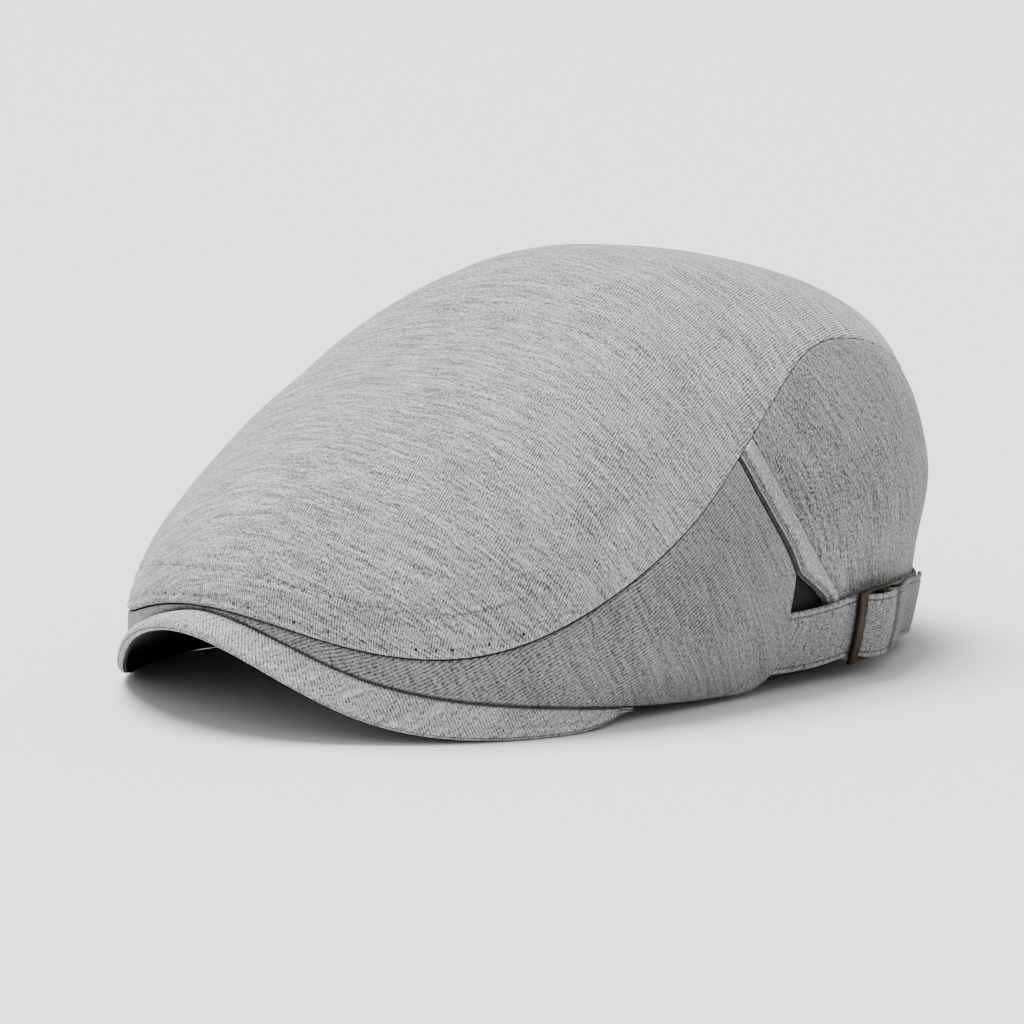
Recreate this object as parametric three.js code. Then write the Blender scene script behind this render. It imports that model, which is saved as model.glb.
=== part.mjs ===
// A flat cap of grey twill: a long top panel over two side panels and a back panel,
// a short arched brim, and a strap with a metal slide at the wearer's left.
// Millimetres, +Z up. The front of the cap faces -Y and the wearer's left is +X.
// The cap stands on the two low points of its brim and on the hem of its side panels.
import * as THREE from 'three';

// Crown
const CROWN_FRONT = 137;       // from the crown's middle to its front edge
const CROWN_SIDE = 92;         // from the crown's middle to its widest point
const CROWN_BACK = 123;        // from the crown's middle to its back
const CROWN_HEIGHT = 118;
const PANEL_THICK = 1.6;
const LINING_THICK = 1.0;
const LINING_GAP = 1.0;
const LINING_FADE = 2.2;       // the rise in rings where it leaves the crown for the head opening
const GAP = 0.3;               // between pieces that are sewn to each other
const SLIT_OPEN = 1.0;         // how far the slit stands open at its lower end

// Brim
const BRIM_SHOW = 6.5;         // how far it reaches past the crown at the front
const BRIM_TUCK = 37;          // how far it runs in under the crown, to the head opening
const BRIM_LIFT = 12;          // the rise of its inner edge over the crown's edge
const BRIM_ARCH = 25.5;        // the height of its lip above the ground at the front
const BRIM_THICK = 3.3;
const BRIM_TURN = 55;          // degrees from the front to each tip
const BRIM_TIP = 0.3;          // the share of its thickness that it has at a tip
const TIP_TURN = 10;           // degrees over which it thins to a tip
const BRIM_SEAT = 0.5;         // between it and the crown that stands on it
const BRIM_BOW = 0.6;          // the share of its rise that it has made halfway along

// Strap, slide and binding
const STRAP_WIDTH = 17.5;
const STRAP_THICK = 1.3;
const STRAP_TURN = 88.9;       // degrees from the front to where its length is counted from
const STRAP_LEAD = 14;         // along it, where the slant of its start has faded
const STRAP_LAY = 0.4;         // its inner face over the back panel
const STRAP_TAIL = 5;          // its end past the slide
const FOLD_TAIL = 25;          // the back strap's folded end, where it lies flat
const BEND = 0.8;              // how far a strap's bend reaches beside a bar
const DROP = 0.3;              // and how far it falls there
const SLIDE_START = 26.5;      // along the strap, from the side panel to the slide
const SLIDE_TURN = 110;        // where it stands, in degrees from the front
const SLIDE_RISE = 0.6;        // and in rings
const SLIDE_LENGTH = 20;
const SLIDE_THICK = 1.4;
const SLIDE_BAR = 2.9;         // the three bars that the straps pass
const SLIDE_RAIL = 1.1;        // the frame above and below the straps
const SLIDE_LIFT = 3.6;        // its inner face over the back panel
const BINDING_WIDTH = 7.5;
const BINDING_PROUD = 0.6;

// Grid counts
const ROUND = 60;              // columns once round the crown
const TOP_ROWS = 10;
const SIDE_COLUMNS = 24;
const BACK_COLUMNS = 32;
const BRIM_COLUMNS = 40;
const STRAP_COLUMNS = 26;      // from the fold round the back
const FOLD_COLUMNS = 5;        // along the folded end

// The crown's outer surface. Each row is a section at a turn in degrees from the front. Reach is
// a share of the plan oval there, and height one of the crown's. Tuck and lift are shares of the
// brim's: they lead from the crown's edge in to the head opening.
const SECTIONS = [
  { turn: 0, edge: [1.00, 0.265], low: [0.98, 0.355], waist: [0.89, 0.46],
    shoulder: [0.69, 0.61], high: [0.35, 0.81], tuck: 1.00, lift: 0.68 },
  { turn: 20, edge: [1.03, 0.145], low: [1.01, 0.27], waist: [0.91, 0.43],
    shoulder: [0.69, 0.62], high: [0.37, 0.82], tuck: 0.96, lift: 1.00 },
  { turn: 40, edge: [1.06, 0.068], low: [1.06, 0.215], waist: [0.96, 0.42],
    shoulder: [0.73, 0.65], high: [0.40, 0.85], tuck: 0.76, lift: 0.50 },
  { turn: 60, edge: [0.99, 0.025], low: [1.05, 0.19], waist: [0.99, 0.42],
    shoulder: [0.77, 0.68], high: [0.44, 0.885], tuck: 0.36, lift: 0.08 },
  { turn: 90, edge: [0.945, 0.01], low: [1.00, 0.175], waist: [0.98, 0.43],
    shoulder: [0.80, 0.71], high: [0.47, 0.92], tuck: 0, lift: 0 },
  { turn: 135, edge: [0.965, 0.012], low: [1.01, 0.215], waist: [1.04, 0.48],
    shoulder: [0.88, 0.79], high: [0.50, 0.96], tuck: 0, lift: 0 },
  { turn: 180, edge: [0.91, 0.012], low: [0.96, 0.26], waist: [0.99, 0.50],
    shoulder: [0.85, 0.80], high: [0.47, 0.965], tuck: 0, lift: 0 },
];
const RINGS = ['edge', 'low', 'waist', 'shoulder', 'high'];
const APEX = RINGS.length;     // the rise of the crown's highest point, in rings

// Where the top panel is sewn to the panels below it: rise in rings at each turn
const SEAM = [
  { turn: 0, rise: 0.09 }, { turn: 10, rise: 0.27 }, { turn: 20, rise: 0.48 },
  { turn: 32, rise: 0.70 }, { turn: 44, rise: 1.15 }, { turn: 58, rise: 1.73 },
  { turn: 74, rise: 2.30 }, { turn: 95, rise: 2.84 }, { turn: 118, rise: 3.12 },
  { turn: 132, rise: 2.95 }, { turn: 145, rise: 2.62 }, { turn: 162, rise: 2.36 },
  { turn: 180, rise: 2.30 },
];

// The slit at the wearer's left, from the hem (up 0) to the seam (up 1): the turn of the side
// panel's rear edge, of the binding's front edge, and the binding's width as a share. The slit
// is open up to its bend.
const SLIT_BEND = 0.53;
const SLIT = [
  { up: 0, side: 80, back: 108, binding: 0.7 },
  { up: 0.03, side: 82.5, back: 107, binding: 0.7 },
  { up: 0.06, side: 84.8, back: 106, binding: 0.7 },
  { up: 0.1, side: 86.6, back: 105, binding: 0.7 },
  { up: 0.40, side: 88.5, back: 97.5, binding: 0.7 },
  { up: SLIT_BEND, side: 90, back: 90, binding: 1.2 },
  { up: 0.62, side: 88, back: 88, binding: 1 },
  { up: 0.74, side: 85, back: 85, binding: 1 },
  { up: 0.87, side: 82.5, back: 82.5, binding: 1 },
  { up: 1, side: 80.5, back: 80.5, binding: 1 },
];
const PANEL_ROWS = [0, 0.03, 0.06, 0.1, 0.15, 0.22, 0.31, 0.4, SLIT_BEND, 0.62, 0.74, 0.87, 1];

// The closed joint of the side and back panels at the wearer's right, at the hem and the seam
const JOINT_HEM = 92;
const JOINT_TOP = 80.5;

// The lining's foot: it stands on the brim, and comes down beside its tips and along the hem
const LINING_FOOT = [
  { turn: 54, rise: 0.1 }, { turn: 60, rise: -0.06 }, { turn: 72, rise: 0.04 },
  { turn: 90, rise: 0.06 },
];

// The brim's lip at each turn: its reach past the crown and its height, as shares
const LIP = [
  { turn: -55, show: 0.03, arch: 0 }, { turn: -48, show: 0.4, arch: 0 },
  { turn: -38, show: 0.48, arch: 0 }, { turn: -30, show: 0.42, arch: 0.07 },
  { turn: -20, show: 0.6, arch: 0.4 }, { turn: -10, show: 1, arch: 0.84 },
  { turn: 0, show: 1.05, arch: 1 }, { turn: 20, show: 0.62, arch: 0.27 },
  { turn: 40, show: 0.62, arch: 0 }, { turn: 50, show: 0.38, arch: 0 },
  { turn: 55, show: 0.03, arch: 0 },
];

// The height of the strap's lower edge above the ground, along it
const STRAP_LINE = [
  { along: 0, height: 5.2 }, { along: 26, height: 6.8 }, { along: 42, height: 7.4 },
  { along: 60, height: 6.6 }, { along: 84, height: 4 }, { along: 130, height: 3.6 },
  { along: 300, height: 5 },
];

// The side strap's middle line from the side panel to the slide, off the crown's face
const STRAP_START = [
  { along: 0.2, off: -0.65 }, { along: 7, off: 0.4 }, { along: 13, off: 1.3 },
  { along: 18, off: 1.7 }, { along: 23, off: 1.9 },
];

const radians = THREE.MathUtils.degToRad;
const mix = THREE.MathUtils.lerp;

// A smooth curve through the rows of a table, level at both ends
function levelCurve(turns, values) {
  const last = turns.length - 1;
  const slopes = new Array(turns.length).fill(0);
  const step = (k) => turns[k + 1] - turns[k];
  const pitch = (k) => (values[k + 1] - values[k]) / step(k);
  for (let sweep = 0; sweep < 60; sweep++) {
    for (let k = 1; k < last; k++) {
      const pull = 3 * (pitch(k - 1) / step(k - 1) + pitch(k) / step(k));
      const beside = slopes[k - 1] / step(k - 1) + slopes[k + 1] / step(k);
      slopes[k] = (pull - beside) / (2 / step(k - 1) + 2 / step(k));
    }
  }
  return (turn) => {
    const at = THREE.MathUtils.clamp(turn, turns[0], turns[last]);
    let k = 0;
    while (k < last - 1 && at > turns[k + 1]) k++;
    const h = step(k);
    const t = (at - turns[k]) / h;
    const rise = values[k] * (1 - t) ** 2 * (1 + 2 * t) + values[k + 1] * t ** 2 * (3 - 2 * t);
    return rise + h * (slopes[k] * t * (1 - t) ** 2 - slopes[k + 1] * t ** 2 * (1 - t));
  };
}

// A value read straight between the rows of a table
function readTable(rows, column, value, at) {
  const last = rows.length - 1;
  if (at <= rows[0][column]) return rows[0][value];
  if (at >= rows[last][column]) return rows[last][value];
  let k = 0;
  while (at > rows[k + 1][column]) k++;
  const t = (at - rows[k][column]) / (rows[k + 1][column] - rows[k][column]);
  return mix(rows[k][value], rows[k + 1][value], t);
}

const curveOf = (rows, pick, at = 'turn') => levelCurve(rows.map((row) => row[at]), rows.map(pick));
const ringReach = RINGS.map((ring) => curveOf(SECTIONS, (row) => row[ring][0]));
const ringHeight = RINGS.map((ring) => curveOf(SECTIONS, (row) => row[ring][1]));
const tuckShare = curveOf(SECTIONS, (row) => row.tuck);
const liftShare = curveOf(SECTIONS, (row) => row.lift);
const seamShare = curveOf(SEAM, (row) => row.rise);
const lipShow = curveOf(LIP, (row) => row.show);
const lipArch = curveOf(LIP, (row) => row.arch);
const strapHeight = curveOf(STRAP_LINE, (row) => row.height, 'along');

// Turns past the back read the same tables from the other side
const folded = (turn) => Math.abs(THREE.MathUtils.euclideanModulo(turn + 180, 360) - 180);
const seamRise = (turn) => seamShare(folded(turn));

// The plan oval's reach from the crown's middle
function planReach(turn) {
  const across = Math.sin(radians(turn)) / CROWN_SIDE;
  const along = Math.cos(radians(turn));
  return 1 / Math.hypot(across, along / (along > 0 ? CROWN_FRONT : CROWN_BACK));
}

function polar(turn, reach, height) {
  return new THREE.Vector3(reach * Math.sin(radians(turn)), -reach * Math.cos(radians(turn)), height);
}

function ringPoint(ring, turn) {
  const at = folded(turn);
  return polar(turn, ringReach[ring](at) * planReach(turn), ringHeight[ring](at) * CROWN_HEIGHT);
}

// The crown's outer surface at a turn and a rise counted in rings, up to the apex
function crown(turn, rise) {
  const rings = RINGS.map((name, ring) => ringPoint(ring, turn));
  const before = rings[0].clone().multiplyScalar(2).sub(rings[1]);
  const apex = new THREE.Vector3(0, 0, CROWN_HEIGHT);
  const stations = [before, ...rings, apex, ringPoint(RINGS.length - 1, turn + 180)];
  const k = THREE.MathUtils.clamp(Math.floor(rise), 0, APEX - 1);
  const t = rise - k;
  const weights = [-t + 2 * t ** 2 - t ** 3, 2 - 5 * t ** 2 + 3 * t ** 3,
    t + 4 * t ** 2 - 3 * t ** 3, t ** 3 - t ** 2];
  const point = new THREE.Vector3();
  weights.forEach((weight, n) => point.addScaledVector(stations[k + n], weight / 2));
  return point;
}

// The outward direction of a surface given by two values
function outward(surface, a, b, stepA, stepB) {
  const across = surface(a + stepA, b).sub(surface(a - stepA, b));
  const up = surface(a, b + stepB).sub(surface(a, b - stepB));
  return across.cross(up).normalize();
}

const crownOut = (turn, rise) => outward(crown, turn, rise, 0.5, 0.02);

// Rise in rings for a distance up the crown's surface
function riseFor(turn, rise, distance) {
  const step = 0.02;
  return distance * 2 * step / crown(turn, rise + step).distanceTo(crown(turn, rise - step));
}

// The rise at which the crown reaches a height
function riseAtHeight(turn, height) {
  let [low, high] = [-0.5, 2];
  for (let pass = 0; pass < 30; pass++) {
    const middle = (low + high) / 2;
    if (crown(turn, middle).z < height) low = middle;
    else high = middle;
  }
  return (low + high) / 2;
}

const degreesFor = (distance, reach) => THREE.MathUtils.radToDeg(distance / reach);

// A closed wall from an outer and an inner grid of points, indexed [column][row]. A ring joins
// its last column to its first, and a pole has one point for all columns in the last row.
function wallFromGrids(outer, inner, { ring = false, pole = false } = {}) {
  const points = [];
  const faces = [];
  const number = (grid) => {
    const tip = pole ? points.push(grid[0].at(-1)) - 1 : null;
    return grid.map((column) => column.map((point, row) =>
      (pole && row === column.length - 1 ? tip : points.push(point) - 1)));
  };
  const [out, back] = [number(outer), number(inner)];
  const addFace = (a, b, c) => {
    if (a !== b && b !== c && c !== a) faces.push(a, b, c);
  };
  const addQuad = (a, b, c, d) => {
    addFace(a, b, c);
    addFace(a, c, d);
  };
  const columns = out.length;
  const rows = out[0].length;
  const spans = ring ? columns : columns - 1;
  for (let i = 0; i < spans; i++) {
    const n = (i + 1) % columns;
    for (let j = 0; j < rows - 1; j++) {
      addQuad(out[i][j], out[n][j], out[n][j + 1], out[i][j + 1]);
      addQuad(back[i][j + 1], back[n][j + 1], back[n][j], back[i][j]);
    }
    addQuad(back[i][0], back[n][0], out[n][0], out[i][0]);
    if (!pole) addQuad(out[i][rows - 1], out[n][rows - 1], back[n][rows - 1], back[i][rows - 1]);
  }
  if (!ring) {
    for (let j = 0; j < rows - 1; j++) {
      addQuad(back[0][j], out[0][j], out[0][j + 1], back[0][j + 1]);
      addQuad(out.at(-1)[j], back.at(-1)[j], back.at(-1)[j + 1], out.at(-1)[j + 1]);
    }
  }
  const geometry = new THREE.BufferGeometry().setFromPoints(points);
  geometry.setIndex(faces);
  geometry.computeVertexNormals();
  return geometry;
}

// A panel of the crown. place(s, t) gives its turn and rise; its outer face stands proud of the
// crown by the distance given, and its foot is cut level so that it can stand on the brim.
function crownPanel(place, columns, rows, { proud = 0, thick = PANEL_THICK, ring, pole } = {}) {
  const outer = [];
  const inner = [];
  for (let i = 0; i < (ring ? columns : columns + 1); i++) {
    const spots = rows.map((t) => place(i / columns, t));
    outer.push(spots.map(([turn, rise]) =>
      crown(turn, rise).addScaledVector(crownOut(turn, rise), proud)));
    inner.push(spots.map(([turn, rise], row) => {
      const point = crown(turn, rise);
      if (pole && rise >= APEX) return point.setZ(point.z - thick);
      if (rise === 0) return point.sub(polar(turn, thick, 0));
      return point.addScaledVector(crownOut(turn, rise), proud - thick);
    }));
  }
  return wallFromGrids(outer, inner, { ring, pole });
}

const evenSteps = (count) => [...Array(count + 1).keys()].map((k) => k / count);

function topPanel() {
  const place = (s, t) => {
    const turn = 360 * s;
    const seam = seamRise(turn);
    return [turn, mix(seam + riseFor(turn, seam, GAP / 2), APEX, t)];
  };
  return crownPanel(place, ROUND, evenSteps(TOP_ROWS), { ring: true, pole: true });
}

// Rise of a panel's grid row: a share of the seam's, less half the gap there
function panelRise(turn, up) {
  const seam = seamRise(turn);
  return up * (seam - riseFor(turn, seam, GAP / 2));
}

const frontJoint = degreesFor(GAP / 2, CROWN_FRONT);
const rightJoint = (up) => mix(JOINT_HEM, JOINT_TOP, up);

// The turn at which a panel stops short of a line of the slit by a share of its opening
function slitTurn(edge, up, direction) {
  const closing = Math.max(0, up - SLIT_BEND) / (1 - SLIT_BEND);
  const open = mix(SLIT_OPEN, GAP, closing);
  return readTable(SLIT, 'up', edge, up) + direction * degreesFor(open / 2, CROWN_SIDE);
}

function sidePanelLeft() {
  const place = (s, t) => {
    const turn = mix(frontJoint, slitTurn('side', t, -1), s);
    return [turn, panelRise(turn, t)];
  };
  return crownPanel(place, SIDE_COLUMNS, PANEL_ROWS);
}

function sidePanelRight() {
  const place = (s, t) => {
    const turn = mix(degreesFor(GAP / 2, CROWN_SIDE) - rightJoint(t), -frontJoint, s);
    return [turn, panelRise(turn, t)];
  };
  return crownPanel(place, SIDE_COLUMNS, PANEL_ROWS);
}

const backRows = PANEL_ROWS.slice(2);
const bindingFront = (up) => slitTurn('back', up, 1);
const bindingRear = (up) => bindingFront(up)
  + degreesFor(BINDING_WIDTH * readTable(SLIT, 'up', 'binding', up), CROWN_SIDE);

function backPanel() {
  const place = (s, t) => {
    const from = bindingRear(t) + degreesFor(GAP, CROWN_SIDE);
    const to = 360 - rightJoint(t) - degreesFor(GAP / 2, CROWN_SIDE);
    const turn = mix(from, to, s);
    return [turn, panelRise(turn, t)];
  };
  return crownPanel(place, BACK_COLUMNS, backRows);
}

function slitBinding() {
  const place = (s, t) => {
    const turn = mix(bindingFront(t), bindingRear(t), s);
    return [turn, panelRise(turn, t)];
  };
  const options = { proud: BINDING_PROUD, thick: PANEL_THICK + BINDING_PROUD };
  return crownPanel(place, 2, backRows, options);
}

// How far the head opening's edge lies inside the crown's edge, and over it
const openingTuck = (turn) => BRIM_TUCK * Math.max(0, tuckShare(folded(turn)));
const openingLift = (turn) => BRIM_LIFT * Math.max(0, liftShare(folded(turn)));

// The lining follows the crown from inside, and at the front comes down to the head opening
function liningFace(turn, rise, depth) {
  const fade = Math.max(0, 1 - rise / LINING_FADE) ** 2;
  const point = crown(turn, rise);
  const out = rise >= APEX ? new THREE.Vector3(0, 0, 1) : crownOut(turn, rise);
  point.addScaledVector(out, -depth);
  point.sub(polar(turn, Math.max(0, openingTuck(turn) - PANEL_THICK - LINING_THICK) * fade, 0));
  point.z += (openingLift(turn) + GAP) * fade;
  return point;
}

function lining() {
  const outer = [];
  const inner = [];
  const depth = PANEL_THICK + LINING_GAP;
  for (let i = 0; i < ROUND; i++) {
    const turn = 360 * i / ROUND;
    const foot = readTable(LINING_FOOT, 'turn', 'rise', folded(turn));
    const rises = evenSteps(TOP_ROWS).map((t) => mix(foot, APEX, t));
    outer.push(rises.map((rise) => liningFace(turn, rise, depth)));
    inner.push(rises.map((rise) => liningFace(turn, rise, depth + LINING_THICK)));
  }
  return wallFromGrids(outer, inner, { ring: true, pole: true });
}

// The brim's upper face from its lip, under the crown's edge, in to the head opening
function brimTop(turn, row) {
  const edge = crown(turn, 0);
  const reach = Math.hypot(edge.x, edge.y);
  const lipReach = reach + BRIM_SHOW * lipShow(turn);
  const lipHeight = BRIM_THICK + BRIM_ARCH * lipArch(turn);
  const seatReach = reach - PANEL_THICK - GAP;
  const seatHeight = edge.z - BRIM_SEAT;
  const rimReach = reach - openingTuck(turn);
  const rimHeight = edge.z + openingLift(turn);
  const sections = [
    [lipReach, lipHeight],
    [mix(lipReach, reach, 0.5), mix(lipHeight, seatHeight, BRIM_BOW)],
    [reach, seatHeight],
    [seatReach, seatHeight],
    [mix(seatReach, rimReach, 0.5), mix(seatHeight, rimHeight, BRIM_BOW)],
    [rimReach, rimHeight],
  ];
  return polar(turn, sections[row][0], sections[row][1]);
}

function brim() {
  const rows = [0, 1, 2, 3, 4, 5];
  const outer = [];
  const inner = [];
  for (const s of evenSteps(BRIM_COLUMNS)) {
    const turn = mix(-BRIM_TURN, BRIM_TURN, s);
    const body = Math.min(1, (BRIM_TURN - Math.abs(turn)) / TIP_TURN);
    const thick = BRIM_THICK * mix(BRIM_TIP, 1, body);
    const column = rows.map((row) => brimTop(turn, row));
    outer.push(column);
    inner.push(column.map((point) => point.clone().setZ(point.z - thick)));
  }
  return wallFromGrids(outer, inner);
}

// The strap's own frame: along it from the side panel, off the crown's face, and up from its
// lower edge. It starts against the slanted rear edge of the side panel, and the crown's reach at
// the slide turns its length into degrees.
const bandReach = crown(SLIDE_TURN, SLIDE_RISE).setZ(0).length();

function bandPoint(along, off, up) {
  const height = strapHeight(along) + up;
  const startRise = riseAtHeight(STRAP_TURN, height);
  const startTurn = slitTurn('side', startRise / seamRise(STRAP_TURN), 1);
  const lead = Math.max(0, 1 - along / STRAP_LEAD);
  const turn = STRAP_TURN + degreesFor(along, bandReach) + lead * (startTurn - STRAP_TURN);
  const rise = riseAtHeight(turn, height);
  return crown(turn, rise).addScaledVector(crownOut(turn, rise), off);
}

// A strap along a path of along and off, its outer face on the left of the path
function ribbon(path) {
  const half = STRAP_THICK / 2;
  const heights = [0, STRAP_WIDTH / 2, STRAP_WIDTH];
  const side = (sign) => path.map(([x, y], k) => {
    const [x0, y0] = path[Math.max(0, k - 1)];
    const [x1, y1] = path[Math.min(path.length - 1, k + 1)];
    const length = Math.hypot(x1 - x0, y1 - y0);
    const along = x - sign * half * (y1 - y0) / length;
    const off = y + sign * half * (x1 - x0) / length;
    return heights.map((up) => bandPoint(along, off, up));
  });
  return wallFromGrids(side(1), side(-1));
}

// Where the slide's three bars stand along the strap
const slidePitch = (SLIDE_LENGTH - SLIDE_BAR) / 2;
const leftBar = SLIDE_START;
const middleBar = SLIDE_START + slidePitch;
const rightBar = SLIDE_START + 2 * slidePitch;
const slideEnd = rightBar + SLIDE_BAR;

// The straps' middle lines off the crown's face: flat on it, and under and over the bars
const strapFlat = STRAP_LAY + STRAP_THICK / 2;
const strapUnder = SLIDE_LIFT - STRAP_THICK;
const strapOver = SLIDE_LIFT + SLIDE_THICK + GAP + STRAP_THICK / 2;
const foldFace = rightBar - GAP - STRAP_THICK / 2;

// The side strap lies under the left bar, over the middle one and under the right one
function sideStrap() {
  return ribbon([
    ...STRAP_START.map(({ along, off }) => [along, off]),
    [leftBar + BEND, strapUnder], [leftBar + SLIDE_BAR + BEND, strapUnder + DROP],
    [middleBar - BEND, strapOver - DROP], [middleBar + DROP, strapOver],
    [middleBar + SLIDE_BAR - DROP, strapOver],
    [middleBar + SLIDE_BAR + BEND, strapOver - DROP],
    [foldFace - 2 * BEND, strapFlat + DROP], [foldFace - BEND, strapFlat],
    [slideEnd, strapFlat], [slideEnd + STRAP_TAIL, strapFlat],
  ]);
}

// The back strap is folded round the right bar, and runs round the back to the right joint
function backStrap() {
  const layer = STRAP_THICK + GAP;
  const inside = strapFlat + layer;
  const foldEnd = slideEnd + STRAP_TAIL + BEND;
  const settled = foldEnd + 1.5 * STRAP_TAIL;
  const joint = 360 - JOINT_HEM - degreesFor(SLIT_OPEN, CROWN_SIDE);
  const end = (joint - STRAP_TURN) / degreesFor(1, bandReach);
  const fold = [
    ...evenSteps(FOLD_COLUMNS).map((t) => [settled + mix(FOLD_TAIL, 0, t), inside]),
    [foldEnd, inside + layer],
    [slideEnd + DROP, strapOver], [rightBar, strapOver],
    [foldFace + DROP, strapOver - DROP], [foldFace, strapOver - BEND],
    [foldFace, inside + BEND], [foldFace + DROP, inside + DROP],
    [rightBar, inside], [foldEnd, inside],
  ];
  const round = evenSteps(STRAP_COLUMNS).map((t) => [mix(settled, end, t), strapFlat]);
  return ribbon([...fold, ...round]);
}

// A plate on the crown, cut into cells at the stations given, without its open cells
function punchedPlate(alongs, ups, isOpen, lift, thick) {
  const points = [];
  const faces = [];
  const numbers = new Map();
  const corner = (i, j, off) => {
    const key = [i, j, off].join();
    if (!numbers.has(key)) numbers.set(key, points.push(bandPoint(alongs[i], off, ups[j])) - 1);
    return numbers.get(key);
  };
  const addQuad = (...corners) => {
    const [a, b, c, d] = corners.map((spot) => corner(...spot));
    faces.push(a, b, c, a, c, d);
  };
  const inside = (i, j) => i >= 0 && j >= 0 && i < alongs.length - 1 && j < ups.length - 1;
  const empty = (i, j) => !inside(i, j) || isOpen(i, j);
  const [low, high] = [lift, lift + thick];
  for (let i = 0; i < alongs.length - 1; i++) {
    for (let j = 0; j < ups.length - 1; j++) {
      if (empty(i, j)) continue;
      const [m, n] = [i + 1, j + 1];
      addQuad([i, j, high], [m, j, high], [m, n, high], [i, n, high]);
      addQuad([i, n, low], [m, n, low], [m, j, low], [i, j, low]);
      if (empty(i, j - 1)) addQuad([i, j, low], [m, j, low], [m, j, high], [i, j, high]);
      if (empty(i, n)) addQuad([i, n, high], [m, n, high], [m, n, low], [i, n, low]);
      if (empty(i - 1, j)) addQuad([i, j, low], [i, j, high], [i, n, high], [i, n, low]);
      if (empty(m, j)) addQuad([m, j, high], [m, j, low], [m, n, low], [m, n, high]);
    }
  }
  const geometry = new THREE.BufferGeometry().setFromPoints(points);
  geometry.setIndex(faces);
  geometry.computeVertexNormals();
  return geometry;
}

// The metal slide: three bars between two rails
function slide() {
  const window = [SLIDE_BAR, mix(SLIDE_BAR, slidePitch, 0.5), slidePitch];
  const alongs = [leftBar, ...window.map((x) => leftBar + x), ...window.map((x) => middleBar + x),
    slideEnd];
  const [low, high] = [-GAP, STRAP_WIDTH + GAP];
  const ups = [low - SLIDE_RAIL, low, mix(low, high, 0.5), high, high + SLIDE_RAIL];
  const isOpen = (i, j) => [1, 2, 4, 5].includes(i) && [1, 2].includes(j);
  return punchedPlate(alongs, ups, isOpen, SLIDE_LIFT, SLIDE_THICK);
}

const twill = (color) => new THREE.MeshStandardMaterial({ color, roughness: 0.95, metalness: 0 });
const black = new THREE.MeshStandardMaterial({ color: 0x1b1b1d, roughness: 0.9, metalness: 0 });
const brass = new THREE.MeshStandardMaterial({ color: 0x5c4c35, roughness: 0.45, metalness: 0.9 });

const pieces = [
  ['top_panel', topPanel(), twill(0xaeaeb0)],
  ['side_panel_left', sidePanelLeft(), twill(0x9b9b9e)],
  ['side_panel_right', sidePanelRight(), twill(0x9b9b9e)],
  ['back_panel', backPanel(), twill(0x97979a)],
  ['slit_binding', slitBinding(), twill(0xa0a0a2)],
  ['brim', brim(), twill(0xa6a6a9)],
  ['lining', lining(), black],
  ['side_strap', sideStrap(), twill(0x8e8c8a)],
  ['back_strap', backStrap(), twill(0x8e8c8a)],
  ['slide', slide(), brass],
];

const cap = new THREE.Group();
for (const [name, geometry, material] of pieces) {
  const mesh = new THREE.Mesh(geometry, material);
  mesh.name = name;
  cap.add(mesh);
}

// The origin is under the middle of the cap, on the surface that it stands on
const extent = new THREE.Box3().setFromObject(cap);
const middle = extent.getCenter(new THREE.Vector3());
cap.position.set(-middle.x, -middle.y, -extent.min.z);

export default cap;
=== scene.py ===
"""A flat cap of grey heathered twill, with a strap and a metal slide at the wearer's left."""
import math

import bmesh
import bpy
import numpy as np
from mathutils import Matrix, Vector, noise


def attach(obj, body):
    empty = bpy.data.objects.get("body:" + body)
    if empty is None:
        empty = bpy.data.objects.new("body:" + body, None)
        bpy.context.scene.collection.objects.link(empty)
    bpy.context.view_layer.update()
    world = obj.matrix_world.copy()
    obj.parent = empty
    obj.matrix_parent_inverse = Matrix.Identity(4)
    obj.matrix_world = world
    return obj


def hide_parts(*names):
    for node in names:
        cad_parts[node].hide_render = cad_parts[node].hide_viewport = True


bl_info = {
    "name": "Flat Cap",
    "version": (1, 0, 0),
    "blender": (4, 5, 0),
    "location": "View3D > Sidebar > Flat Cap",
    "description": "Dresses the packed flat cap in twill, stitching and dark brass",
    "category": "Object",
}

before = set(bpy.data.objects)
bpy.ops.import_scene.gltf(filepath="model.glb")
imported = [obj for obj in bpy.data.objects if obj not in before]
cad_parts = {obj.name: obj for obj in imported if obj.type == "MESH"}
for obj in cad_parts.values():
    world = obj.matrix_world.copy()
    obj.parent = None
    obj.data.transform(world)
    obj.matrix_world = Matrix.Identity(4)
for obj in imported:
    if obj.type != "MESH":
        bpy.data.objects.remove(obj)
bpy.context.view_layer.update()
MM = 0.001

# The crown, in millimetres, with its middle where the solids have it
CROWN_MIDDLE = (-0.939, 10.856, 0.089)
CROWN_FRONT = 137.0
CROWN_SIDE = 92.0
CROWN_BACK = 123.0
CROWN_HEIGHT = 118.0
APEX = 5

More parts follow.
